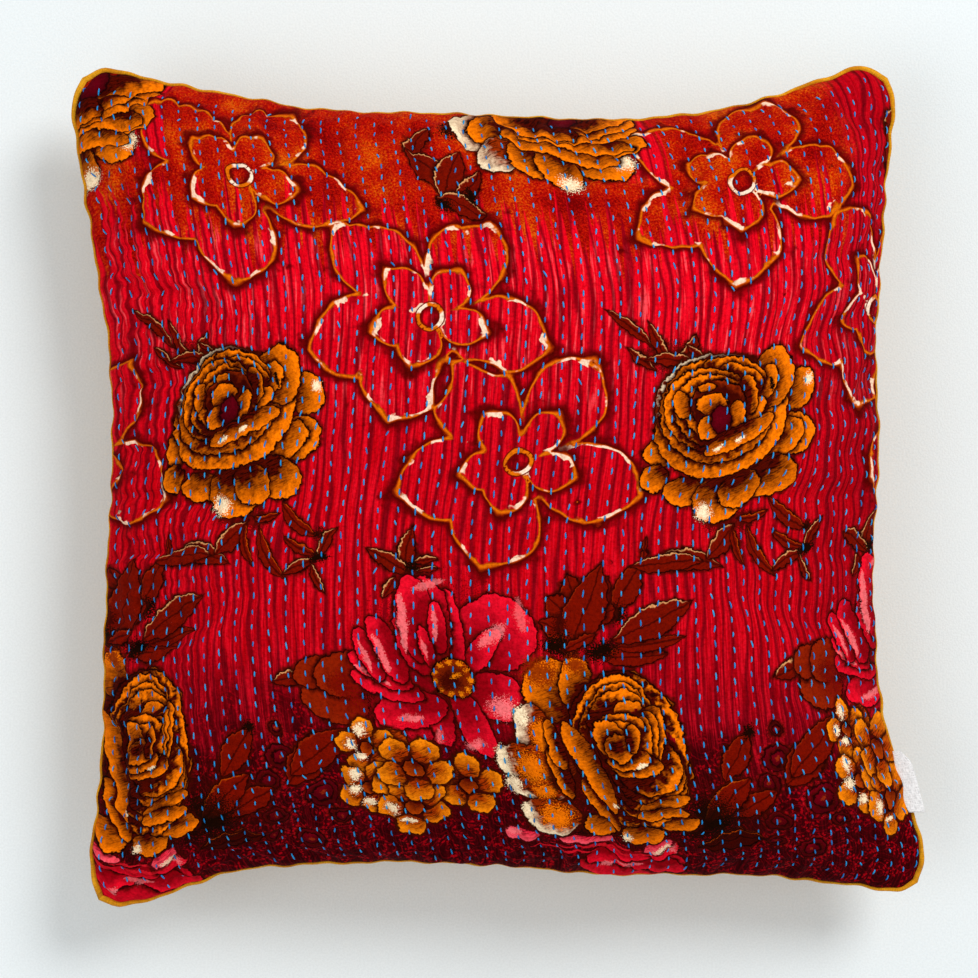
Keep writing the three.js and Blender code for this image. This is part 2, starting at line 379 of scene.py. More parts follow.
def slack(a, b):
    """The plain back is not quilted; it only lies a little uneven where nothing presses on it."""
    u = a * HALF_CLOTH
    v = b * HALF_CLOTH
    inside = np.clip((1 - np.maximum(np.abs(a), np.abs(b))) * 14, 0, 1)
    return inside * (1.1 * soft_noise(u, v, 30, 34, 2.2) + 0.5 * soft_noise(u, v, 13, 15, 4.4))


def skin(a, b, on_face):
    """The finished surface in millimetres, and the direction out of it."""
    point = filled(a, b, on_face)
    normal = outward(a, b, on_face)
    lift = np.where(on_face, quilting(a, b), slack(a, b))
    lift = np.where(~on_face & (point[..., 2] < 0.5), 0, lift)
    shift = normal * lift[..., None]
    shift[..., 0] *= np.where(a > 0, 0.5, 1)
    point = point + shift
    point[..., 2] = np.maximum(point[..., 2], 0)
    return point, normal


# The sewn cover; the two corners and sizes are where its face and back lie in the layout for baking
FACE_COLUMNS = STITCH_ROWS * 6
BACK_COLUMNS = STITCH_ROWS * 2
FACE_LAYOUT = (0.01, 0.72)
BACK_LAYOUT = (0.75, 0.24)


def make_cover():
    bm = sewn_panels(FACE_COLUMNS, BACK_COLUMNS)
    for face in bm.faces:
        face.material_index = 0 if face.calc_center_median().z > 0 else BACK_FINISH
    layout = bm.loops.layers.uv.new("OFBake")
    for face in bm.faces:
        corner, size = FACE_LAYOUT if face.material_index == 0 else BACK_LAYOUT
        for loop in face.loops:
            place = loop.vert.co
            loop[layout].uv = (corner + size * (place.x + 1) / 2, corner + size * (place.y + 1) / 2)
    mesh = mesh_from(bm, "printed_cover")
    a, b, layer = points_of(mesh).T
    point, _ = skin(a, b, layer >= 0)
    seam = layer == 0
    point[seam] = pillow(a[seam], b[seam], True)
    move_points(mesh, point * MM)
    store(mesh, "cloth", np.stack([a * HALF_CLOTH, b * HALF_CLOTH, layer], axis=1))
    for draw in DRAWN_IN_TURN:
        draw()
    lay_print(mesh, a, b)
    return add_piece("printed_cover", mesh)


# Threads: a small bent rod for each stitch, with both ends pulled into the cloth
ROD_STEPS = 4
ROD_SIDES = 5
ROD_ARCH = (-0.2, 0.34, 0.5, 0.34, -0.2)
ROD_THICKNESS = (0.26, 0.41, 0.45, 0.41, 0.26)


def thread_rod():
    """A rod along x, from 0 to its number of steps, one unit thick."""
    bm = bmesh.new()
    ring = bmesh.ops.create_circle(bm, segments=ROD_SIDES, radius=1)["verts"]
    for vert in ring:
        vert.co = Vector((0, vert.co.x, vert.co.y))
    edges = bm.edges[:]
    for _ in range(ROD_STEPS):
        grown = bmesh.ops.extrude_edge_only(bm, edges=edges)["geom"]
        verts = [g for g in grown if isinstance(g, bmesh.types.BMVert)]
        bmesh.ops.translate(bm, verts=verts, vec=(1, 0, 0))
        edges = [g for g in grown if isinstance(g, bmesh.types.BMEdge)]
        edges = [edge for edge in edges if abs(edge.verts[0].co.x - edge.verts[1].co.x) < 0.5]
    bmesh.ops.holes_fill(bm, edges=bm.edges[:], sides=ROD_SIDES)
    bmesh.ops.recalc_face_normals(bm, faces=bm.faces[:])
    return mesh_from(bm, "thread_rod")


def copies(mesh, name, count):
    """One mesh of many copies, which an Array makes and which is then applied."""
    source = add_piece(name, mesh)
    array = source.modifiers.new("rows", "ARRAY")
    array.fit_type = "FIXED_COUNT"
    array.count = count
    array.use_relative_offset = False
    array.use_constant_offset = True
    array.constant_offset_displace = (10, 0, 0)
    evaluated = source.evaluated_get(bpy.context.evaluated_depsgraph_get())
    many = bpy.data.meshes.new_from_object(evaluated)
    many.name = name
    bpy.data.objects.remove(source)
    return many


def stitch_places():
    """Middle, lean and length of every stitch, on the cloth in millimetres."""
    places = []
    for row in range(STITCH_ROWS):
        u = -HALF_CLOTH + ROW_PITCH * (row + 0.5)
        start = float(np.interp(row + 1, np.arange(STITCH_ROWS + 2), row_starts))
        first = math.ceil((-HALF_CLOTH + 6 - start) / STITCH_PITCH)
        last = math.floor((HALF_CLOTH - 6 - start) / STITCH_PITCH)
        for number in range(first, last + 1):
            v = start + number * STITCH_PITCH + dice.gauss(0, 0.55)
            side = dice.gauss(0, 0.28)
            lean = dice.gauss(0, 0.12)
            if dice.random() < 0.03:
                lean = dice.uniform(-0.7, 0.7)
            places.append((u + side, v, lean, STITCH_LENGTH * dice.uniform(0.78, 1.15)))
    return np.array(places)


def make_stitches():
    places = stitch_places()
    u, v, lean, length = places.T
    rod = thread_rod()
    template = points_of(rod)
    many = copies(rod, "running_stitches", len(places))
    steps = np.linspace(-0.5, 0.5, ROD_STEPS + 1)
    a = (u[:, None] + np.sin(lean)[:, None] * length[:, None] * steps) / HALF_CLOTH
    b = (v[:, None] + np.cos(lean)[:, None] * length[:, None] * steps) / HALF_CLOTH
    point, normal = skin(np.clip(a, -1, 1), np.clip(b, -1, 1), np.ones_like(a, dtype=bool))
    middle = normal[:, ROD_STEPS // 2]
    ahead = unit_long(point[:, -1] - point[:, 0])
    sideways = unit_long(np.cross(ahead, middle))
    upward = np.cross(sideways, ahead)
    ring = np.rint(template[:, 0]).astype(int)
    arch = np.array(ROD_ARCH)[ring]
    thick = np.array(ROD_THICKNESS)[ring]
    centre = point[:, ring] + upward[:, None, :] * arch[None, :, None]
    across = template[:, 1] * thick
    rise = template[:, 2] * thick * 0.8
    place = centre + sideways[:, None, :] * across[None, :, None]
    place = place + upward[:, None, :] * rise[None, :, None]
    move_points(many, place.reshape(-1, 3) * MM)
    tone = many.attributes.new("tone", "FLOAT", "POINT")
    shades = np.repeat([dice.random() for _ in range(len(places))], len(template)).astype(np.float32)
    tone.data.foreach_set("value", shades)
    return add_piece("running_stitches", many)


# The edge of the back cloth, which shows round the seam
EDGE_STEPS = 720
EDGE_SIDES = 8
WHEEL_RADIUS = 10
SEAM_LENGTH = 1800


def round_the_seam(turn):
    """A place on the cloth's border for each turn from 0 to 1, starting at the bottom left corner."""
    side = np.floor(turn * 4).astype(int) % 4
    on_side = [side == number for number in range(4)]
    place = (turn * 4) % 1 * 2 - 1
    return np.select(on_side, [place, 1, -place, -1]), np.select(on_side, [-1, place, 1, -place])


def make_seam_edge():
    bm = bmesh.new()
    ring = bmesh.ops.create_circle(bm, segments=EDGE_SIDES, radius=1)["verts"]
    for vert in ring:
        vert.co = Vector((WHEEL_RADIUS + vert.co.x, 0, vert.co.y))
    bmesh.ops.spin(
        bm, geom=bm.verts[:] + bm.edges[:], cent=(0, 0, 0), axis=(0, 0, 1), dvec=(0, 0, 0),
        angle=2 * math.pi, steps=EDGE_STEPS, use_merge=True, use_normal_flip=False, use_duplicate=False,
    )
    bmesh.ops.recalc_face_normals(bm, faces=bm.faces[:])
    mesh = mesh_from(bm, "seam_edge_cloth")
    wheel = points_of(mesh)
    turn = (np.arctan2(wheel[:, 1], wheel[:, 0]) / (2 * np.pi)) % 1
    turn = np.rint(turn * EDGE_STEPS) / EDGE_STEPS % 1
    reach = np.hypot(wheel[:, 0], wheel[:, 1]) - WHEEL_RADIUS
    steps = np.arange(EDGE_STEPS) / EDGE_STEPS
    a, b = round_the_seam(steps)
    line = pillow(a, b, True)
    around = np.roll(line, -2, axis=0) - np.roll(line, 2, axis=0)
    for _ in range(3):
        around = (np.roll(around, 1, axis=0) + 2 * around + np.roll(around, -1, axis=0)) / 4
    around = unit_long(around)
    away = np.stack([around[:, 1], -around[:, 0], np.zeros(EDGE_STEPS)], axis=1)
    corner = np.minimum(np.abs(a), np.abs(b)) ** 6
    uneven = soft_noise(line[:, 0], line[:, 1], 26, 26, 8.8)
    width = np.clip(0.7 + 2.4 * corner + 0.9 * uneven, 0.2, 3.2)
    at = np.rint(turn * EDGE_STEPS).astype(int) % EDGE_STEPS
    centre = line[at] + away[at] * (width[at] * 0.5 - 0.35)[:, None]
    centre[:, 2] -= 0.4
    place = centre + away[at] * (reach * (width[at] * 0.5 + 0.35))[:, None]
    place[:, 2] += wheel[:, 2] * 1.3
    move_points(mesh, place * MM)
    border = (turn * SEAM_LENGTH, np.arctan2(wheel[:, 2], reach) * 1.4, np.zeros(len(turn)))
    store(mesh, "cloth", np.stack(border, axis=1))
    return add_piece("seam_edge_cloth", mesh)


# The woven tape at the lower right, bare
TAPE_LENGTH = 32.0
TAPE_REACH = 10.0


def make_tape():
    bm = bmesh.new()
    bmesh.ops.create_grid(bm, x_segments=14, y_segments=36, size=1)
    bmesh.ops.solidify(bm, geom=bm.faces[:], thickness=0.1)
    mesh = mesh_from(bm, "woven_tape")
    flat = points_of(mesh)
    out = (flat[:, 0] + 1) / 2
    along = (flat[:, 1] + 1) / 2
    low, high = np.array(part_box("label")) / MM
    top = high[1] - 0.6
    y = top - along * (top - low[1] - 0.4)
    edge = line_through(RIGHT_SEAM, y)
    x = edge - 2.2 + out * TAPE_REACH * (0.62 + 0.38 * np.sin(np.clip(along * 4, 0, 1) * math.pi / 2))
    z = (low[2] + high[2]) / 2 + 0.5 * np.sin(out * 2.2 + along * 1.5) + flat[:, 2] * 3.5
    move_points(mesh, np.stack([x, y, z], axis=1) * MM)
    store(mesh, "cloth", np.stack([out * TAPE_REACH, along * TAPE_LENGTH, out * 0], axis=1))
    return add_piece("woven_tape", mesh)


# Dyes and threads as materials
COTTON_PITCH = 0.55


def ink(red, green, blue, alpha=1.0):
    """A colour as the photo gives it, from 0 to 255, for a shader."""
    shares = (red / 255, green / 255, blue / 255)
    linear = [((c + 0.055) / 1.055) ** 2.4 if c > 0.04 else c / 12.92 for c in shares]
    return (*linear, alpha)


class Value:
    """A number that varies over a surface. Sums on it add Math nodes."""

    def __init__(self, dye, socket):
        self.dye = dye
        self.socket = socket

    def math(self, operation, *others):
        return self.dye.sum(operation, self, *others)

    def __add__(self, other):
        return self.math("ADD", other)

    def __sub__(self, other):
        return self.math("SUBTRACT", other)

    def __rsub__(self, other):
        return self.dye.sum("SUBTRACT", other, self)

    def __mul__(self, other):
        return self.math("MULTIPLY", other)

    def __truediv__(self, other):
        return self.math("DIVIDE", other)

    def __abs__(self):
        return self.math("ABSOLUTE")

    __radd__ = __add__
    __rmul__ = __mul__


class Dye:
    """One material and its nodes."""

    def __init__(self, name):
        self.material = bpy.data.materials.new(name)
        self.material.use_nodes = True
        self.tree = self.material.node_tree
        self.tree.nodes.clear()

    def node(self, kind, settings=None, inputs=None):
        """A node of a kind: its settings first, then the values or links of its sockets."""
        made = self.tree.nodes.new(kind)
        for name, value in (settings or {}).items():
            if name == "stops":
                self.set_stops(made.color_ramp, value)
            else:
                setattr(made, name, value)
        for name, value in (inputs or {}).items():
            if isinstance(value, Value):
                self.tree.links.new(value.socket, made.inputs[name])
            else:
                made.inputs[name].default_value = value
        return made

    def out(self, kind, settings=None, inputs=None, output=0):
        return Value(self, self.node(kind, settings, inputs).outputs[output])

    @staticmethod
    def set_stops(ramp, stops):
        """Stops as (place, colour), from low to high."""
        ramp.elements.remove(ramp.elements[-1])
        ramp.elements[0].position, ramp.elements[0].color = stops[0]
        for place, colour in stops[1:]:
            ramp.elements.new(place).color = colour

    def sum(self, operation, *values):
        return self.out("ShaderNodeMath", {"operation": operation}, dict(enumerate(values)))

    def vector(self, operation, *values, output=0):
        return self.out("ShaderNodeVectorMath", {"operation": operation}, dict(enumerate(values)), output)

    def mix(self, share, under, over, blend="MIX"):
        """Over laid on under, as far as share says."""
        settings = {"data_type": "RGBA", "blend_type": blend}
        return self.out("ShaderNodeMix", settings, {0: share, 6: under, 7: over}, 2)

    def split(self, vector):
        made = self.node("ShaderNodeSeparateXYZ", {}, {0: vector})
        return [Value(self, made.outputs[i]) for i in range(3)]

    def join(self, x, y, z=0.0):
        return self.out("ShaderNodeCombineXYZ", {}, {0: x, 1: y, 2: z})

    def stored(self, name, output=1):
        """What a mesh stores under a name: 0 as a colour, 1 as a place, 2 as a number."""
        return self.out("ShaderNodeAttribute", {"attribute_name": name}, {}, output)

    def own_place(self):
        """The object's own coordinates, in metres."""
        return self.out("ShaderNodeTexCoord", {}, {}, 3)

    def speckle(self, place, scale, detail=2.0, roughness=0.5, output=0):
        inputs = {"Vector": place, "Scale": scale, "Detail": detail, "Roughness": roughness}
        return self.out("ShaderNodeTexNoise", {"noise_dimensions": "2D"}, inputs, output)

    def stretched(self, place, centre, size, detail=2.0, turn=0):
        """Speckles drawn out to a width and a length."""
        return self.speckle(self.placed(place, centre, turn, size), 1.0, detail)

    def cells(self, place, size, randomness):
        """How far each place is from the middle of its cell."""
        inputs = {"Vector": place, "Scale": 1 / size, "Randomness": randomness}
        return self.out("ShaderNodeTexVoronoi", {"voronoi_dimensions": "2D"}, inputs)

    def placed(self, place, centre, turn=0.0, size=(1, 1)):
        """The place measured from a motif's own middle, along its own axes and in its own size."""
        inputs = {
            "Vector": place,
            "Location": (centre[0], centre[1], 0),
            "Rotation": (0, 0, math.radians(turn)),
            "Scale": (size[0], size[1], 1),
        }
        return self.out("ShaderNodeMapping", {"vector_type": "TEXTURE"}, inputs)

    def between(self, value, low, high, smooth=True):
        """0 below low and 1 above high."""
        settings = {"interpolation_type": "SMOOTHSTEP" if smooth else "LINEAR", "clamp": True}
        return self.out("ShaderNodeMapRange", settings, {"Value": value, "From Min": low, "From Max": high})

    def ramp(self, value, stops):
        return self.out("ShaderNodeValToRGB", {"stops": stops}, {0: value})

    def finish(self, colour, roughness, height, depth, sheen, gloss):
        """The surface: its colour and bump vary, its sheen and gloss are the same all over."""
        bump = self.out("ShaderNodeBump", {}, {"Height": height, "Distance": depth, "Strength": 1.0})
        finish = {"Base Color": colour, "Roughness": roughness, "Normal": bump}
        finish |= {"Sheen Weight": sheen, "Sheen Roughness": 0.5, "Specular IOR Level": gloss}
        shader = self.node("ShaderNodeBsdfPrincipled", {}, finish)
        output = self.node("ShaderNodeOutputMaterial")
        self.tree.links.new(shader.outputs[0], output.inputs[0])
        return self.material


def cotton_weave(dye, place, pitch):
    """Height of a plain weave, from 0 to 1: two sets of soft threads that are never quite even."""
    warp = dye.stretched(place, (0, 0), (pitch, pitch * 7), 1.0)
    weft = dye.stretched(place, (50, 20), (pitch * 7, pitch), 1.0)
    return warp * 0.5 + weft * 0.5


# The print: its repeat, its inks, and the marks that it is drawn with
REPEAT = 261.0
SLOPE = 0.017
INK = ink(22, 5, 0)
SHADE = ink(60, 6, 0)
OCHRE = (ink(76, 8, 0), ink(246, 120, 2))
GOLD = (ink(160, 50, 0), ink(248, 136, 8))
CREAM = (ink(140, 40, 0), ink(246, 222, 182))
BROWN = (ink(84, 8, 0), ink(176, 62, 0))
UMBER = (ink(58, 4, 0), ink(130, 34, 0))
LEAF = (ink(112, 12, 0), ink(136, 30, 2))
LEAF_EDGE = ink(222, 156, 96)
PINK_LIGHT = ink(254, 128, 132)
PINK = (ink(136, 0, 12), ink(230, 12, 38))
BLUSH = (ink(222, 16, 50), ink(248, 86, 100))
HEART = (ink(92, 0, 14), ink(62, 0, 6))
EYE = (ink(104, 0, 14), ink(70, 0, 8))
BEAD = ink(190, 10, 26)
SCRAP = ink(214, 20, 36)
LINE_WIDTH = 0.8
SHADOW_WIDTH = 2.2
MARK_LAYERS = 5
FACE_REACH = 1.25
BASE_SHARE = 0.85
LAYERS_DRAWN = (0, 2, MARK_LAYERS)
BACK_FINISH = len(LAYERS_DRAWN)
marks = []


class Sketch:
    """One motif of the print, drawn in its own units, y down, and repeated across the cloth."""

    def __init__(self, middle, heart, unit):
        self.middle = middle
        self.heart = heart
        self.unit = unit

    def mark(self, x, y, wide, high, turn, core, tone, soft=0.0, leafy=0.0, bend=0.0, towards=None):
        """One mark, whose darkest place lies towards the heart of the motif."""
        u = self.middle[0] + (x - self.heart[0]) * self.unit[0]
        v = self.middle[1] - (y - self.heart[1]) * self.unit[1]
        size = (wide * self.unit[0], high * self.unit[1])
        deep, light = tone
        heart = towards or self.heart
        to_heart = Vector(((heart[0] - x) * self.unit[0], -(heart[1] - y) * self.unit[1]))
        to_heart = Vector((*to_heart, 0)) @ Matrix.Rotation(math.radians(turn), 3, "Z")
        base = Vector((to_heart.x / size[0], to_heart.y / size[1]))
        base = base * BASE_SHARE / max(1, base.length)
        for repeat in (-REPEAT, 0, REPEAT):
            place = (u + repeat, v, math.radians(turn))
            if abs(place[0]) < HALF_CLOTH + max(size):
                look = (leafy, core, soft, bend, *deep[:3], *light[:3], *base, 1 / (1 + base.length))
                marks.append((*place, *size, *look))

    def petals(self, *rows, tone=OCHRE):
        """Rounded petals with an inked line and a shadow, as x, y, wide, high, turn and dark share."""
        for row in rows:
            self.mark(*row, tone)

    def daubs(self, *rows, colour=CREAM[1]):
        """Soft patches of one ink, as x, y, wide, high, turn and strength."""
        for x, y, wide, high, turn, strength in rows:
            soft = 0.4 * min(wide * self.unit[0], high * self.unit[1])
            self.mark(x, y, wide * 0.9, high * 0.9, turn, strength, (colour, colour), soft)

    def leaves(self, *rows, tone=LEAF, top=LEAF_EDGE):
        """Leaves with a midrib and light along the upper side, as x, y, long, wide, turn and bend."""
        for x, y, long, wide, turn, bend in rows:
            self.mark(x, y, long, wide, turn, 0.3, (tone[0], top), 0.0, 1.0, bend)

    def paisley(self, x, y, wide, high, turn, beads):
        """A small eye in rings, with a ring of beads round it."""
        for number in range(beads):
            angle = 2 * math.pi * number / beads
            bead = (x + wide * 1.12 * math.cos(angle), y + high * 1.12 * math.sin(angle))
            self.daubs((*bead, 0.9 / self.unit[0], 0.9 / self.unit[1], 0, 0.9), colour=BEAD)
        self.petals((x, y, wide, high, turn, 0.2), (x, y, wide * 0.6, high * 0.6, turn, 0.2), tone=EYE)
        self.daubs((x, y, wide * 0.16, high * 0.16, turn, 0.7), colour=ink(150, 44, 10))

    def florets(self, *rows):
        """Small flowers of five round petals about a brown heart, as x, y, reach and turn."""
        for x, y, reach, turn in rows:
            ball = reach * 0.62
            for number in range(5):
                angle = 2 * math.pi * number / 5 + math.radians(turn)
                out_x = x + reach * math.cos(angle)
                out_y = y - reach * math.sin(angle)
                self.mark(out_x, out_y, ball, ball, 0, 0.25, GOLD, towards=(x, y))
            self.petals((x, y, reach * 0.42, reach * 0.42, 0, 0.1), tone=BROWN)


def off_rim(along, up, wide, high, leafy):
    """How far off a mark's rim a place lies, in millimetres: less than 0 inside it."""
    far = leafy / 2 * np.abs(up) + np.hypot(along, up * (1 - leafy / 2))
    reach = np.hypot(along * wide, up * high)
    return reach - reach / np.maximum(far, 0.0001)


def mark_rows(table):
    """The sums that turn a place on the cloth into a place along and up each mark."""
    u, v, turn, wide, high = table[:, :5].T
    cosine = np.cos(turn)
    sine = np.sin(turn)
    across = np.stack([cosine / wide, sine / wide, -(u * cosine + v * sine) / wide], axis=1)
    upward = np.stack([-sine / high, cosine / high, (u * sine - v * cosine) / high], axis=1)
    return across, upward


def marks_on(u, v):
    """Which marks show on each face, topmost first. What a mark hides all over a face is left out."""
    blank = (0, 0, 0, 0.001, 0.001) + (0,) * 12 + (1,)
    table = np.array(marks + [blank])
    across, upward = mark_rows(table)
    shown = np.full((MARK_LAYERS, len(u)), len(marks))
    count = np.zeros(len(u), dtype=int)
    seen = np.ones(len(u), dtype=bool)
    for number in range(len(marks) - 1, -1, -1):
        mark = table[number]
        wide, high, leafy, _, soft, bend = mark[3:9]
        reach = max(wide, high) * (1.5 if bend else 1) + SHADOW_WIDTH + soft + FACE_REACH
        near = np.nonzero(seen & (np.abs(u - mark[0]) < reach) & (np.abs(v - mark[1]) < reach))[0]
        along = across[number, 0] * u[near] + across[number, 1] * v[near] + across[number, 2]
        up = upward[number, 0] * u[near] + upward[number, 1] * v[near] + upward[number, 2]
        up = up - bend * (1 - along * along)
        off = off_rim(along, up, wide, high, leafy)
        margin = FACE_REACH + (soft + 0.4 if soft else SHADOW_WIDTH)
        touched = near[off < margin]
        shown[count[touched], touched] = number
        count[touched] += 1
        if not soft:
            seen[near[off < -FACE_REACH - 0.6]] = False
        seen[count >= MARK_LAYERS] = False
    return table, across, upward, shown, count


# Flowers in outline only, as place across and up, with the angle, reach and half width of each petal
FLOWER_PETALS = ((57, 66, 20), (131, 67, 21), (197, 63, 21.5), (254, 58.5, 22.5), (345, 65, 20.5))
OUTLINED_FLOWERS = ((-133.6, 163.4, 6), (-40.3, 90.3, 0), (11.5, 15.6, 0))
FAR_OFF = 99.0


def petal_outline(along, aside, reach, wide):
    """How far a place lies off the line of a petal with a pointed tip: less than 0 inside it."""
    step = along - reach * 0.6
    span = np.where(step > 0, reach * 0.4, reach * 0.56)
    share = np.abs(step) / span
    steep = 2.1 * share**1.1 / span
    off = (aside / wide + share**2.1 - 1) / np.hypot(1 / wide, steep)
    tip = np.exp(-(((along - reach) / 7) ** 2) - (aside / 6) ** 2)
    return off / (1 + 1.1 * tip)


def flower_lines(u, v):
    """How far each place is off the outer petals, the inner petals and the ring of the nearest flower."""
    lines = np.full((3, len(u)), FAR_OFF)
    for across, up, turn in OUTLINED_FLOWERS:
        for repeat in (-REPEAT, 0, REPEAT):
            x = u - across - repeat
            y = v - up
            far = np.hypot(x, y)
            outer = np.full(len(u), FAR_OFF)
            inner = np.full(len(u), FAR_OFF)
            for angle, reach, wide in FLOWER_PETALS:
                angle = math.radians(angle + turn)
                along = x * math.cos(angle) + y * math.sin(angle)
                aside = np.abs(y * math.cos(angle) - x * math.sin(angle))
                outer = np.minimum(outer, petal_outline(along, aside, reach, wide))
                inner = np.minimum(inner, petal_outline(along, aside, reach * 0.48, wide * 0.5))
            outer = np.minimum(outer, far - 22)
            inner = np.maximum(inner, 6.2 - far)
            both = -np.maximum(lines[0], outer)
            lines = np.minimum(lines, np.stack([outer, inner, np.abs(far - 6.3)]))
            lines[0] = np.maximum(lines[0], both)
    return lines


def lay_print(mesh, a, b):
    """Gives each face of the cover the marks that show on it, and each point its place in the print."""
    u = a * HALF_CLOTH
    v = b * HALF_CLOTH
    drawn_u = u + 2.6 * soft_noise(u, v, 40, 40, 12.5) + 0.9 * soft_noise(u, v, 6.5, 6.5, 15.5)
    drawn_v = v + 2.6 * soft_noise(u, v, 40, 40, 13.5) + 0.9 * soft_noise(u, v, 6.5, 6.5, 16.5)
    drawn_v = drawn_v - SLOPE * u
    store(mesh, "print", np.stack([drawn_u, drawn_v, np.ones(len(u))], axis=1))
    corners = numbers_of(mesh.loops, "vertex_index")
    starts = numbers_of(mesh.polygons, "loop_start")
    totals = numbers_of(mesh.polygons, "loop_total")
    face_u = np.add.reduceat(drawn_u[corners], starts) / totals
    face_v = np.add.reduceat(drawn_v[corners], starts) / totals
    table, across, upward, shown, count = marks_on(face_u, face_v)
    drawn = np.searchsorted(LAYERS_DRAWN, count).astype(np.int32)
    plain = numbers_of(mesh.polygons, "material_index") == BACK_FINISH
    mesh.polygons.foreach_set("material_index", np.where(plain, BACK_FINISH, drawn))
    store(mesh, "flowers", flower_lines(drawn_u, drawn_v).T)
    for layer in range(MARK_LAYERS):
        mark = shown[layer]
        columns = {
            "across": across[mark],
            "upward": upward[mark],
            "size": table[mark, 3:6],
            "look": table[mark, 6:9],
            "deep": table[mark, 9:12],
            "light": table[mark, 12:15],
            "base": table[mark, 15:18],
        }
        for name, values in columns.items():
            store(mesh, f"mark_{layer}_{name}", values, "FACE")


def laid_marks(dye, layers, colour, spot, place):
    """The marks of each face, the lowest first, each laid over what is under it."""
    blot = dye.speckle(place, 1 / 4, 2.0) - 0.5
    grain = dye.speckle(place, 1 / 0.8, 1.0) - 0.5
    hatch = dye.between(dye.stretched(place, (0, 0), (4.5, 0.8), turn=24), 0.5, 0.6)
    for layer in range(layers - 1, -1, -1):

        def read(name, output=1):
            return dye.stored(f"mark_{layer}_{name}", output)

        along = dye.vector("DOT_PRODUCT", spot, read("across"), output=1)
        up = dye.vector("DOT_PRODUCT", spot, read("upward"), output=1)
        size = read("size")
        _, high, leafy = dye.split(size)
        core, soft, bend = dye.split(read("look"))
        up = up - bend * (1 - along * along)
        half = leafy * 0.5
        far = half * abs(up) + dye.vector("LENGTH", dye.join(along, up * (1 - half)), output=1)
        reach = dye.vector("LENGTH", dye.vector("MULTIPLY", dye.join(along, up), size), output=1)
        off = reach - reach / far + grain * soft * 6 + blot * 3.2
        hard = dye.sum("LESS_THAN", soft, 0.001)
        shadow = dye.between(off, SHADOW_WIDTH, 0.1) * hard
        colour = dye.mix(shadow * 0.8, colour, SHADE)
        base = read("base")
        _, _, spread = dye.split(base)
        from_base = dye.vector("SUBTRACT", dye.join(along, up), dye.vector("MULTIPLY", base, (1, 1, 0)))
        share = dye.vector("LENGTH", from_base, output=1) * spread
        glow = dye.between(share + blot * 0.4, core, 0.92, smooth=False)
        rib = dye.between(abs(up) * high, 0.7, 0.25) * leafy
        lit = dye.between(up, 0.05, 0.4) * dye.between(off, -2.0, -1.1)
        lit = glow * (1 - leafy) + lit * leafy
        deep = read("deep", 0)
        fill = dye.mix(lit, deep, read("light", 0))
        _, green, _ = dye.split(read("light"))
        line = dye.between(off, -LINE_WIDTH - 0.35, -LINE_WIDTH + 0.15)
        hatched = hatch * (0.9 - lit) * (1 - leafy * 0.8) * dye.between(green, 0.02, 0.1)
        dark = dye.sum("MAXIMUM", line, hatched)
        drawn_line = dye.mix(0.88, deep, (0, 0, 0, 1))
        fill = dye.mix(dye.sum("MAXIMUM", dark * hard, rib * 0.7), fill, drawn_line)
        cover = dye.between(off, soft * 0.6 + 0.25, -0.2 - soft * 0.6) * (1 - (1 - hard) * (1 - core))
        colour = dye.mix(cover, colour, fill)
    return colour


def drawn_flowers(dye, colour, place):
    """Flowers in outline: a line in ochre, pale in patches, with a soft brown shade outside it."""
    outer, inner, ring = dye.split(dye.stored("flowers"))
    patches = dye.speckle(place, 1 / 15, 3.0)
    brush = dye.speckle(dye.placed(place, (30, 9)), 1 / 9, 3.0) * 2.7 - 0.3
    line = (
        (0.21, ink(170, 60, 2, 0)),
        (0.25, ink(164, 56, 0)),
        (0.3, ink(216, 108, 4)),
        (0.35, ink(204, 88, 2)),
        (0.4, ink(130, 26, 0)),
        (0.45, ink(76, 2, 0)),
        (0.62, ink(92, 0, 2, 0.85)),
        (0.95, ink(116, 0, 8, 0)),
    )
    for distance, width in ((outer, 9.0), (inner, 7.4)):
        at = distance * brush / width + 0.36
        ramp = dye.node("ShaderNodeValToRGB", {"stops": line}, {0: at})
        colour = dye.mix(Value(dye, ramp.outputs[1]), colour, Value(dye, ramp.outputs[0]))
        light = dye.between(abs(distance * brush + 0.9), 0.9, 0.6) * dye.between(patches, 0.55, 0.6)
        colour = dye.mix(light, colour, ink(244, 206, 176))
    colour = dye.mix(dye.between(ring, 1.9, 1.3), colour, ink(104, 10, 0))
    tone = dye.mix(dye.between(patches, 0.48, 0.56), ink(214, 104, 4), ink(246, 216, 190))
    return dye.mix(dye.between(ring, 1.15, 0.8), colour, tone)


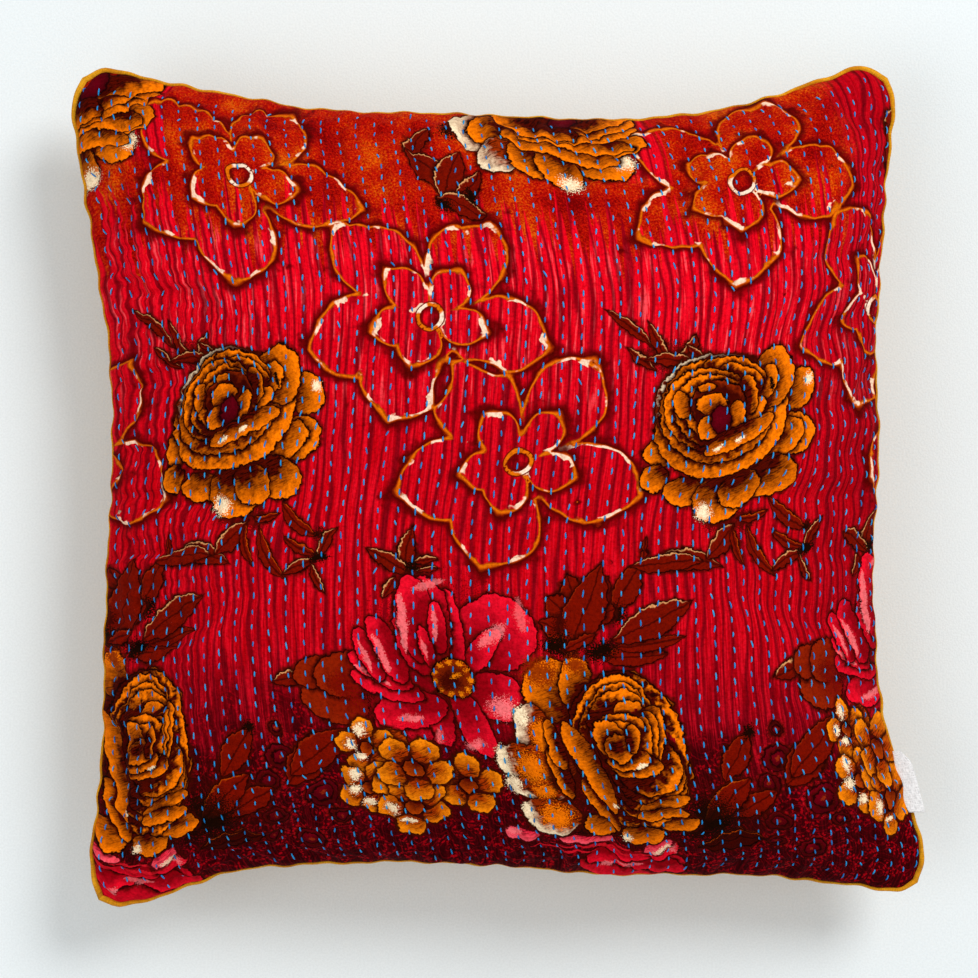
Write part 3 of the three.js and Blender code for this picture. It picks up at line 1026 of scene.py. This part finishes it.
def draw_rose_a():
    rose = Sketch((-150.6, 40.4), (480, 480), (0.0988, 0.0902))
    rose.daubs((640, 1120, 180, 70, 0, 0.8), (240, 150, 170, 80, 0, 0.7), colour=SHADE)
    rose.leaves(
        (0, -15, 176, 34, -38, 0.5), (70, 157, 104, 28, -38, 0.2), (178, 92, 150, 34, -60, -0.2),
        (310, 128, 114, 42, 67, -0.3), (245, 190, 150, 42, -8, 0.5), (375, 160, 100, 28, -44, 0.3),
        (290, 1335, 205, 58, 0, 0.25), (590, 1230, 125, 66, 46, -0.2),
    )
    rose.leaves(
        (700, 1265, 115, 30, -72, -0.7), (835, 1300, 165, 40, -58, -0.8), (985, 1105, 165, 44, -38, -0.7),
        (1005, 1260, 120, 32, -28, -0.7),
        top=BROWN[1],
    )
    rose.leaves(
        (1000, 1385, 110, 38, 18, 0.3), (1165, 1255, 105, 38, 58, 0.6), (1105, 1440, 90, 30, -62, -0.5),
    )
    rose.leaves((770, 1090, 90, 30, 10, -0.6), top=BROWN[1])
    rose.daubs((1115, 1335, 62, 30, 10, 1), (1110, 1200, 30, 40, 0, 0.9), colour=INK)
    rose.petals((985, 372, 108, 128, 0, 0.1))
    rose.daubs((1040, 325, 24, 34, 40, 1))
    rose.petals(
        (950, 625, 135, 128, 10, 0.15), (885, 640, 140, 100, 30, 0.3), (815, 858, 172, 140, -10, 0.35),
        (165, 690, 88, 88, 0, 0.2), (165, 838, 82, 86, 0, 0.2), (345, 915, 125, 92, -8, 0.15),
        (560, 965, 165, 165, 0, 0.3), (660, 915, 120, 135, -18, 0.35),
    )
    rose.daubs((475, 1045, 40, 60, 40, 1))
    rose.petals((520, 490, 400, 345, 14, 0.62))
    rose.petals((478, 432, 346, 314, 8, 0.84), tone=CREAM)
    rose.petals(
        (490, 442, 342, 306, 12, 0.66), (800, 280, 142, 185, -12, 0.35), (765, 300, 60, 110, -14, 0.1),
    )
    rose.daubs((782, 318, 16, 50, 10, 1), colour=INK)
    rose.petals(
        (560, 250, 190, 110, -12, 0.7), (590, 275, 150, 90, -20, 0.7), (425, 440, 252, 240, 0, 0.72),
        (440, 445, 215, 212, 0, 0.72), (455, 450, 180, 180, 0, 0.7), (690, 440, 60, 90, -38, 0.1),
        (640, 360, 60, 120, 12, 0.55),
    )
    rose.petals((470, 430, 160, 165, 0, 0.7), tone=UMBER)
    rose.petals(
        (270, 415, 46, 88, 8, 0.1), (400, 318, 52, 34, 8, 0), (570, 490, 62, 110, -6, 0.1),
        (430, 415, 92, 72, 6, 0.2), (408, 545, 66, 76, 24, 0.15),
    )
    rose.petals((482, 498, 62, 84, 8, 0.3), tone=HEART)
    rose.petals((612, 590, 228, 62, 24, 0.25))
    rose.daubs((490, 660, 34, 14, 20, 1), (605, 612, 32, 13, 25, 1))


def draw_rose_b():
    rose = Sketch((59.7, -132.2), (930, 700), (0.0764, 0.0819))
    rose.daubs((1430, 1230, 260, 190, 20, 0.9), colour=INK)
    rose.daubs((480, 900, 260, 420, 0, 0.9), colour=SHADE)
    rose.daubs((860, 1330, 400, 110, 0, 0.8), colour=INK)
    rose.petals(
        (880, 1690, 380, 200, 0, 0.3), (740, 1600, 200, 90, 8, 0.4), (1080, 1700, 210, 90, -24, 0.4),
        (900, 1550, 190, 60, -6, 0.4), (1130, 1520, 120, 100, 30, 0.2),
        tone=PINK,
    )
    rose.daubs(
        (1180, 1510, 34, 70, 10, 0.7), (880, 1640, 110, 18, -8, 0.5), (700, 1690, 50, 20, 12, 0.6),
        colour=PINK_LIGHT,
    )
    rose.daubs(
        (620, 1500, 330, 12, -6, 0.8), (420, 1530, 260, 12, -6, 0.8), (900, 1545, 300, 12, -6, 0.8),
        (760, 1470, 260, 12, -6, 0.8), (1090, 1515, 180, 12, -6, 0.8),
        colour=SCRAP,
    )
    rose.petals((1100, 1480, 110, 60, 20, 0), tone=BLUSH)
    rose.daubs((1120, 1510, 60, 26, 10, 0.8))
    rose.petals((600, 1430, 210, 40, -8, 0), (160, 1400, 120, 62, 0, 0), tone=BLUSH)
    rose.daubs((110, 1385, 50, 22, 0, 0.6), colour=PINK_LIGHT)
    rose.petals((545, 330, 205, 205, 0, 0.2))
    rose.daubs((470, 210, 120, 90, -10, 0.9), colour=UMBER[1])
    rose.petals((700, 260, 110, 165, -16, 0.3))
    rose.daubs((715, 160, 70, 60, 0, 0.9), colour=UMBER[1])
    for pale, tip in (
        ((395, 600, 150, 192, 0, 0.6), (325, 500, 44, 70, 10, 1)),
        ((350, 850, 292, 165, 0, 0.72), (115, 830, 42, 88, 0, 1)),
        ((345, 1010, 232, 88, 0, 0.7), (170, 1010, 50, 62, 0, 1)),
        ((400, 1215, 192, 165, -12, 0.6), (245, 1180, 30, 60, 10, 1)),
    ):
        rose.petals(pale, tone=CREAM)
        rose.daubs(tip)
    rose.daubs(
        (440, 620, 70, 110, 0, 0.8), (330, 860, 110, 100, 0, 0.8), (390, 1010, 80, 46, 0, 0.7),
        (430, 1210, 90, 100, 0, 0.9),
        colour=OCHRE[1],
    )
    rose.daubs((490, 860, 60, 190, 0, 0.9), colour=INK)
    rose.petals(
        (520, 880, 64, 200, 8, 0.5), (528, 690, 62, 190, 6, 0.4), (1090, 240, 72, 66, 0, 0),
        (1160, 330, 66, 56, 0, 0), (1290, 440, 70, 90, 0, 0), (1335, 610, 52, 70, 0, 0),
        (1380, 720, 44, 66, 0, 0), (1390, 850, 44, 76, 0, 0), (1260, 1250, 150, 80, 14, 0.2),
        (1010, 740, 405, 560, 0, 0.8), (940, 660, 300, 460, -10, 0.82), (950, 650, 255, 400, -12, 0.8),
        (985, 560, 225, 260, -14, 0.74), (1060, 880, 330, 330, 20, 0.8), (1090, 870, 300, 280, 20, 0.8),
        (1110, 850, 275, 240, 20, 0.76), (1130, 830, 240, 200, 20, 0.74), (1050, 450, 110, 70, 6, 0),
    )
    rose.petals((1010, 690, 235, 215, 0, 0.7), tone=UMBER)
    rose.petals(
        (1165, 650, 125, 240, -14, 0.62), (1140, 655, 108, 205, -14, 0.6), (1110, 660, 92, 170, -10, 0.6),
        (1000, 560, 170, 90, -8, 0.6), (985, 600, 150, 80, -6, 0.5), (900, 660, 120, 150, 12, 0.4),
        (1050, 830, 200, 80, 4, 0.55), (1000, 790, 170, 70, 10, 0.5), (965, 715, 130, 100, 24, 0.3),
        (1060, 650, 62, 110, -8, 0.4),
    )
    rose.daubs((1085, 830, 44, 12, 20, 1))
    rose.petals(
        (1190, 1080, 200, 50, 18, 0.1), (1160, 1160, 190, 52, 6, 0.1), (1010, 1345, 150, 88, 0, 0.1),
    )
    rose.daubs((905, 1370, 30, 30, 0, 1))
    rose.petals(
        (706, 1310, 130, 100, -44, 0.1), (745, 1150, 70, 210, 28, 0.45), (725, 860, 88, 350, 17, 0.1),
    )
    rose.daubs((850, 1125, 26, 12, -30, 1))


def draw_rose_c():
    """Only the lower petals of this rose reach over the seam."""
    rose = Sketch((45, 221), (0, 0), (1, 1))
    rose.leaves(
        (-80, 24, 15, 6, 60, 0.3), (-80, 46, 20, 8, -66, 0.4), (-66, 48, 19, 8, 70, 0.3),
        (-58, 50, 14, 5, 50, -0.3), (-64, 68, 14, 7, -14, 0.4),
    )
    rose.daubs((-74, 68, 5, 4, 0, 1), (-62, 14, 7, 7, 0, 1), (-58, 58, 4, 6, 0, 1), colour=INK)
    rose.petals((-49, 11, 14, 15, 0, 0.4), tone=CREAM)
    rose.petals((-36, 12, 17, 13, -10, 0.5))
    rose.petals((-37, 32, 13, 13, 0, 0.5), tone=CREAM)
    rose.petals((-24, 34, 9, 15, 10, 0.3), (15, 37, 14, 12, 0, 0.2))
    rose.daubs((24, 36, 5, 5, 0, 1))
    rose.petals((-10, 40, 11, 14, 30, 0.2))
    rose.daubs((-6, 49, 5, 5, 0, 1))
    rose.petals((21, 22, 19, 10, 8, 0.2))
    rose.daubs((14, 24, 9, 2, 20, 1), colour=INK)
    rose.petals(
        (-6, 24, 32, 9, -22, 0.4), (2, 17, 32, 9, -14, 0.5), (14, 12, 25, 7, 14, 0.4),
        (20, 6, 22, 6, 20, 0.4), (18, -1, 22, 7, 16, 0.5), (-16, 6, 24, 10, -24, 0.5),
    )
    rose.petals((0, 0, 9, 7, 30, 0.2), tone=HEART)


def draw_peony():
    bloom = Sketch((-20.4, -97.4), (905, 665), (0.1062, 0.1086))
    bloom.leaves(
        (700, 60, 130, 42, 78, 0.2), (610, 110, 125, 42, -32, 0.3), (780, 100, 70, 26, 8, 0.4),
        (790, 145, 60, 20, 8, 0.4), (605, 225, 70, 30, 60, 0),
    )
    bloom.daubs((715, 130, 34, 40, 0, 1), colour=INK)
    bloom.leaves((130, 670, 125, 46, 12, 0.2))
    bloom.petals(
        (330, 770, 175, 125, -20, 0.2), (235, 640, 110, 85, 10, 0.2), (365, 650, 130, 115, 0, 0.2),
        tone=LEAF,
    )
    bloom.daubs((420, 720, 150, 60, -20, 1), colour=LEAF[0])
    bloom.daubs((500, 750, 60, 40, 0, 0.9), colour=INK)
    bloom.daubs((880, 660, 400, 400, 0, 0.95), colour=ink(120, 0, 10))
    for pink, glow in (
        (
            ((1125, 440, 205, 185, 0, 0.3), (1020, 560, 190, 60, 52, 0.3)),
            ((1105, 450, 90, 30, 42, 0.55), (1245, 350, 26, 90, 14, 0.35)),
        ),
        (((905, 430, 70, 200, 8, 0.3), (1110, 750, 165, 130, -10, 0.3)), ((1135, 800, 70, 56, 0, 0.7),)),
        (((970, 900, 84, 200, 14, 0.35),), ((960, 1020, 50, 26, 10, 0.6),)),
        (((820, 890, 66, 160, 0, 0.4),), ((800, 980, 18, 50, 0, 0.5),)),
        (((640, 920, 150, 90, -24, 0.35), (690, 835, 180, 105, 10, 0.4)), ((690, 880, 70, 18, 4, 0.6),)),
        (((590, 710, 190, 62, -22, 0.4), (560, 640, 180, 64, -30, 0.4)), ((520, 660, 110, 14, -30, 0.6),)),
        (((500, 560, 56, 150, 26, 0.4),), ((480, 570, 12, 95, 22, 0.55),)),
        (((590, 540, 70, 190, 28, 0.45),), ((556, 560, 20, 110, 26, 0.6),)),
        (
            ((765, 410, 150, 250, 6, 0.45), (735, 380, 100, 225, 10, 0.5)),
            ((668, 400, 24, 160, 6, 0.6), (790, 215, 86, 22, 14, 0.5)),
        ),
        (((845, 420, 50, 135, 8, 0.3),), ((830, 400, 14, 90, 6, 0.6),)),
        (((790, 520, 40, 110, 16, 0.4),), ((775, 520, 10, 60, 16, 0.5),)),
    ):
        bloom.petals(*pink, tone=PINK)
        bloom.daubs(*glow, colour=PINK_LIGHT)
    bloom.petals((905, 665, 104, 106, 0, 0.1), tone=UMBER)
    for number in range(11):
        angle = 2 * math.pi * number / 11
        seed = (905 + 84 * math.cos(angle), 665 + 84 * math.sin(angle))
        bloom.daubs((*seed, 13, 13, 0, 0.7), colour=GOLD[1])
    bloom.daubs((885, 690, 52, 46, 0, 0.9), colour=UMBER[0])
    bloom.daubs((925, 650, 26, 14, 30, 0.7), colour=GOLD[1])


def draw_cluster():
    bunch = Sketch((-20.4, -97.4), (905, 665), (0.1062, 0.1086))
    bunch.daubs((620, 1240, 330, 250, 0, 0.7), colour=HEART[0])
    bunch.leaves((200, 1050, 215, 88, 38, 0.1), top=LEAF[1])
    bunch.petals((545, 1010, 110, 95, 0, 0.2), tone=GOLD)
    bunch.florets((440, 1020, 100, 20), (410, 1255, 105, 60), (880, 1245, 112, 12))
    bunch.petals((520, 1250, 100, 95, 0, 0.2), tone=GOLD)
    bunch.florets((610, 1385, 120, 40), (640, 1150, 118, 55))
    bunch.daubs(
        (425, 925, 30, 30, 0, 1), (365, 1005, 22, 26, 0, 1), (400, 1060, 26, 18, 0, 1),
        (350, 1165, 26, 36, 0, 1), (335, 1255, 30, 28, 0, 1), (395, 1345, 28, 22, 0, 1),
        (500, 1400, 30, 34, 0, 1), (575, 1470, 36, 14, 0, 1),
    )


def draw_dark_leaves():
    """Leaves and eyes in the dark ground at the bottom of the repeat."""
    spray = Sketch((-131.3, -124.7), (600, 270), (0.067, 0.0765))
    for row in (
        (820, 290, 62, 58, 0, 15), (810, 490, 130, 95, 20, 17), (690, 670, 100, 85, 0, 13),
        (1090, 820, 150, 110, 30, 19), (1210, 985, 90, 60, 0, 11), (940, 1230, 130, 95, 10, 17),
        (700, 960, 110, 80, 0, 13), (640, 1150, 90, 60, 0, 11),
    ):
        spray.paisley(*row)
    spray.daubs((320, 860, 420, 330, 30, 0.6), colour=UMBER[0])
    spray.leaves(
        (1040, 540, 290, 135, 42, 0.1), (520, 830, 250, 95, 30, 0.1), (480, 460, 240, 95, 56, 0.1),
        top=LEAF[1],
    )
    spray.leaves((340, 780, 290, 105, 42, 0.1), top=BROWN[1])
    spray.leaves((300, 1180, 270, 100, 8, 0.2), tone=UMBER, top=BROWN[1])
    spray.daubs((600, 285, 50, 46, 30, 1), (200, 970, 130, 60, 0, 1), colour=INK)
    spray.leaves((410, 1075, 100, 12, -20, 0.3), tone=BROWN, top=BROWN[1])


def draw_brown_leaves():
    """The broad leaves between the peony and the second rose."""
    spray = Sketch((56.9, -59.7), (610, 610), (0.0594, 0.0599))
    spray.leaves((1330, 250, 380, 105, -6, 0.5))
    spray.leaves((975, 90, 130, 30, 88, 0.2), (830, 400, 240, 120, 58, 0), top=LEAF[1])
    spray.daubs((740, 620, 90, 90, 0, 1), colour=INK)
    spray.leaves((860, 990, 300, 100, 4, 0.1), (1010, 880, 320, 66, 6, 0.1), top=LEAF[1])
    spray.leaves((1044, 706, 400, 135, 23, 0.1))
    spray.leaves(
        (350, 430, 180, 120, 112, 0), (560, 430, 180, 110, 48, 0), (275, 590, 200, 135, 138, 0),
        (570, 630, 180, 125, 22, 0), (250, 760, 190, 120, 162, 0), (460, 600, 450, 185, 72, 0),
        top=LEAF[1],
    )
    spray.daubs((260, 720, 60, 130, 10, 0.9), colour=UMBER[0])
    spray.daubs((270, 930, 190, 120, 0, 1), colour=INK)
    spray.leaves((430, 880, 170, 60, 30, 0), top=LEAF[1])
    spray.daubs((600, 950, 150, 90, 20, 1), colour=INK)


DRAWN_IN_TURN = (
    draw_rose_c, draw_dark_leaves, draw_peony, draw_cluster, draw_brown_leaves, draw_rose_b, draw_rose_a,
)


def printed_cotton(layers):
    """The printed face, for the parts of it where so many marks lie one over another."""
    dye = Dye(f"printed_kantha_cotton_{layers}")
    place = dye.stored("cloth")
    u, v, _ = dye.split(place)
    cloudy = dye.speckle(place, 1 / 60, 2.0)
    ground = dye.ramp(
        v / (2 * HALF_CLOTH) + 0.5 + (cloudy - 0.5) * 0.1,
        (
            (0.0, ink(44, 0, 4)),
            (0.17, ink(64, 0, 6)),
            (0.25, ink(128, 0, 10)),
            (0.32, ink(180, 0, 12)),
            (0.45, ink(188, 0, 12)),
            (0.6, ink(196, 0, 16)),
            (0.78, ink(224, 2, 24)),
            (1.0, ink(206, 2, 18)),
        ),
    )
    stray = dye.stretched(place, (0, 0), (14, 90))
    stripe = dye.sum("FRACT", u / 5.1 + stray * 2.2)
    bold = dye.stretched(place, (9, 5), (6, 60), 1.0)
    off = abs(stripe - 0.5)
    reach = bold * 0.36 - 0.03
    stripes = dye.between(off - reach, 0.16, -0.12)
    streak = dye.stretched(place, (3, 8), (1.1, 26))
    thread = dye.stretched(place, (20, 2), (0.8, 30))
    colour = dye.mix(dye.between(streak, 0.42, 0.64) * 0.4, ground, ink(246, 20, 44))
    colour = dye.mix(dye.between(thread, 0.52, 0.7) * 0.5, colour, ink(130, 0, 12))
    # Pale pink streaks over the upper middle of the face: printed streaks, with painted sheen where the
    # ridges catch the light
    pale = dye.stretched(place, (40, 8), (1.8, 26), 3.0)
    window = dye.between(v, 24, 70) * dye.between(v, 150, 120)
    colour = dye.mix(dye.between(pale, 0.58, 0.72) * window * 0.7, colour, ink(255, 84, 92))
    colour = dye.mix(stripes * 0.78, colour, ink(90, 0, 10))

    drawn_u, drawn_v, _ = dye.split(dye.stored("print"))
    ragged = dye.node("ShaderNodeSeparateColor", {}, {0: dye.speckle(place, 1 / 1.8, 1.0, output=1)})
    drawn_u = drawn_u + (Value(dye, ragged.outputs[0]) - 0.5) * 1.1
    drawn_v = drawn_v + (Value(dye, ragged.outputs[1]) - 0.5) * 1.1
    cloth = (drawn_u, drawn_v)
    spot = dye.join(drawn_u, drawn_v, 1.0)

    # Painted shade: the ground darkens towards the right edge, where the cloth turns down to the seam and
    # lies in shade
    colour = dye.mix(dye.between(u, 150, 205) * 0.35, colour, ink(84, 0, 8))
    colour = draw_band(dye, place, cloth, colour)
    colour = draw_dark_ground(dye, place, cloth, colour)
    colour = drawn_flowers(dye, colour, place)
    if layers:
        colour = laid_marks(dye, layers, colour, spot, place)

    weave = cotton_weave(dye, place, COTTON_PITCH)
    mottle = dye.speckle(place, 1 / 1.7, 3.0, 0.65)
    soft = dye.ramp(
        mottle, ((0.3, (0.72, 0.68, 0.66, 1)), (0.5, (1, 1, 1, 1)), (0.72, (1.18, 1.2, 1.25, 1)))
    )
    colour = dye.mix(1.0, colour, soft, "MULTIPLY")
    return dye.finish(colour, 0.9, weave, 0.00035, sheen=0.0, gloss=0.02)


def draw_band(dye, place, cloth, colour):
    """The speckled copper band along the top, with a fringe of streaks below it."""
    u, v = cloth
    fringe = dye.stretched(place, (17, 3), (3.4, 400))
    cover = dye.between(v + (fringe - 0.5) * 120, 138, 146)
    cover = cover * dye.between(u, 200, 178)
    gap = dye.sum("WRAP", u - 76, REPEAT / 2, -REPEAT / 2)
    open_gap = dye.between(abs(gap) + (fringe - 0.5) * 30, 18, 12) * dye.between(v, 168, 180)
    grain = dye.speckle(place, 1 / 1.2, 3.0, 0.8)
    patch = dye.speckle(place, 1 / 24, 2.0)
    copper = dye.ramp(
        grain + (patch - 0.5) * 0.7,
        ((0.26, ink(104, 0, 0)), (0.44, ink(164, 8, 2)), (0.58, ink(184, 28, 0)), (0.76, ink(214, 92, 4))),
    )
    return dye.mix(cover * (1 - open_gap) * 0.96, colour, copper)


def draw_dark_ground(dye, place, cloth, colour):
    """Small rings, beads and curls in red and black on the dark maroon at the bottom."""
    u, v = cloth
    edge = dye.speckle(place, 1 / 30, 2.0)
    low = dye.between(u, 55, 95) * 22
    cover = dye.between(v + (edge - 0.5) * 90 + low, -106, -138)
    ring = dye.sum("FRACT", dye.cells(dye.join(u, v), 17, 0.9) * 5.0)
    beads = dye.cells(dye.join(u, v), 2.3, 1.0)
    curls = dye.ramp(
        ring,
        (
            (0.0, ink(48, 0, 4)),
            (0.3, ink(64, 0, 6)),
            (0.4, ink(14, 0, 0)),
            (0.5, ink(66, 0, 8)),
            (0.6, ink(140, 0, 12)),
            (0.68, ink(68, 0, 8)),
            (0.95, ink(26, 0, 0)),
        ),
    )
    dark = dye.speckle(place, 1 / 8, 2.0)
    dots = dye.between(beads, 0.34, 0.22) * dye.between(dark, 0.46, 0.54)
    curls = dye.mix(dots * 0.8, curls, ink(172, 2, 16))
    curls = dye.mix(dye.between(dark, 0.6, 0.36) * 0.7, curls, ink(36, 0, 2))
    return dye.mix(cover * 0.85, colour, curls)


def mustard_cotton(name):
    dye = Dye(name)
    place = dye.stored("cloth")
    patchy = dye.speckle(place, 1 / 22, 3.0)
    colour = dye.ramp(patchy, ((0.3, ink(196, 122, 6)), (0.5, ink(222, 150, 12)), (0.7, ink(234, 168, 30))))
    weave = cotton_weave(dye, place, COTTON_PITCH)
    # Painted shade: the low threads of the weave are darkened in the colour
    raised = dye.between(weave, 0.36, 0.64)
    shaded = dye.mix(1.0, colour, (0.72, 0.7, 0.66, 1), "MULTIPLY")
    colour = dye.mix(raised, shaded, colour)
    return dye.finish(colour, 0.9, weave, 0.0005, sheen=0.03, gloss=0.15)


def blue_thread():
    dye = Dye("blue_stitching_thread")
    place = dye.own_place()
    tone = dye.stored("tone", 2)
    colour = dye.ramp(tone, ((0.0, ink(0, 112, 190)), (0.5, ink(0, 150, 228)), (1.0, ink(40, 176, 240))))
    twist = dye.speckle(place, 2600, 2.0)
    colour = dye.mix(dye.between(twist, 0.4, 0.7) * 0.5, colour, ink(10, 70, 150))
    return dye.finish(colour, 0.7, twist, 0.0003, sheen=0.0, gloss=0.25)


def white_tape():
    dye = Dye("white_woven_tape")
    place = dye.stored("cloth")
    weave = cotton_weave(dye, place, 0.4)
    # Painted shade: the hollows of the weave are a darker grey in the colour
    colour = dye.ramp(weave, ((0.3, ink(196, 196, 196)), (0.6, ink(236, 236, 236))))
    return dye.finish(colour, 0.75, weave, 0.0003, sheen=0.15, gloss=0.35)


# The camera looks straight down, as the photo does
CAMERA_X = -5.3
CAMERA_Y = -1.3
CAMERA_HEIGHT = 1750.0
PHOTO_WIDTH = 518.3
SENSOR_WIDTH = 36
LIT_PLACE = Vector((0, 0, 0.05))


def set_camera():
    lens = bpy.data.cameras.new("photo_camera")
    lens.sensor_width = SENSOR_WIDTH
    lens.lens = SENSOR_WIDTH * CAMERA_HEIGHT / PHOTO_WIDTH
    lens.clip_end = 20
    camera = bpy.data.objects.new("photo_camera", lens)
    camera.location = (CAMERA_X * MM, CAMERA_Y * MM, (BACK_CROWN + CAMERA_HEIGHT) * MM)
    bpy.context.scene.collection.objects.link(camera)
    bpy.context.scene.camera = camera


def add_light(name, place, size, watts):
    light = bpy.data.lights.new(name, "AREA")
    light.shape = "DISK"
    light.size = size
    light.energy = watts
    lamp = bpy.data.objects.new(name, light)
    lamp.location = place
    lamp.rotation_euler = (LIT_PLACE - Vector(place)).to_track_quat("-Z", "Y").to_euler()
    bpy.context.scene.collection.objects.link(lamp)


def set_light():
    add_light("window_light", (1.5, 1.6, 2.6), 1.4, 66)
    add_light("soft_fill", (-1.2, -0.4, 1.8), 1.6, 11)
    world = bpy.data.worlds.new("pale_room")
    world.use_nodes = True
    background = world.node_tree.nodes["Background"].inputs
    background["Color"].default_value = (1, 1, 1, 1)
    background["Strength"].default_value = 0.6
    bpy.context.scene.world = world
    bpy.context.scene.view_settings.view_transform = "Standard"


def make_floor():
    bm = bmesh.new()
    bmesh.ops.create_grid(bm, x_segments=8, y_segments=8, size=3)
    mesh = mesh_from(bm, "pale_floor")
    floor = add_piece("pale_floor", mesh)
    dye = Dye("pale_floor_paper")
    place = dye.own_place()
    grain = dye.speckle(place, 900, 2.0)
    tone = dye.ramp(grain, ((0.3, ink(222, 229, 231)), (0.7, ink(228, 235, 237))))
    mesh.materials.append(dye.finish(tone, 0.9, grain, 0.0001, sheen=0, gloss=0.1))
    return floor


cover = make_cover()
for layers_drawn in LAYERS_DRAWN:
    cover.data.materials.append(printed_cotton(layers_drawn))
cover.data.materials.append(mustard_cotton("mustard_back_cotton"))
stitches = make_stitches()
stitches.data.materials.append(blue_thread())
seam_edge = make_seam_edge()
seam_edge.data.materials.append(mustard_cotton("mustard_edge_cotton"))
tape = make_tape()
tape.data.materials.append(white_tape())
floor = make_floor()
set_camera()
set_light()

for piece, slot in (
    (cover, "kantha_cotton"),
    (stitches, "kantha_cotton"),
    (seam_edge, "back_cotton"),
    (tape, "label_tape"),
):
    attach(piece, "root")
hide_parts("cushion")
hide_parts("seam_edge")
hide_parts("label")
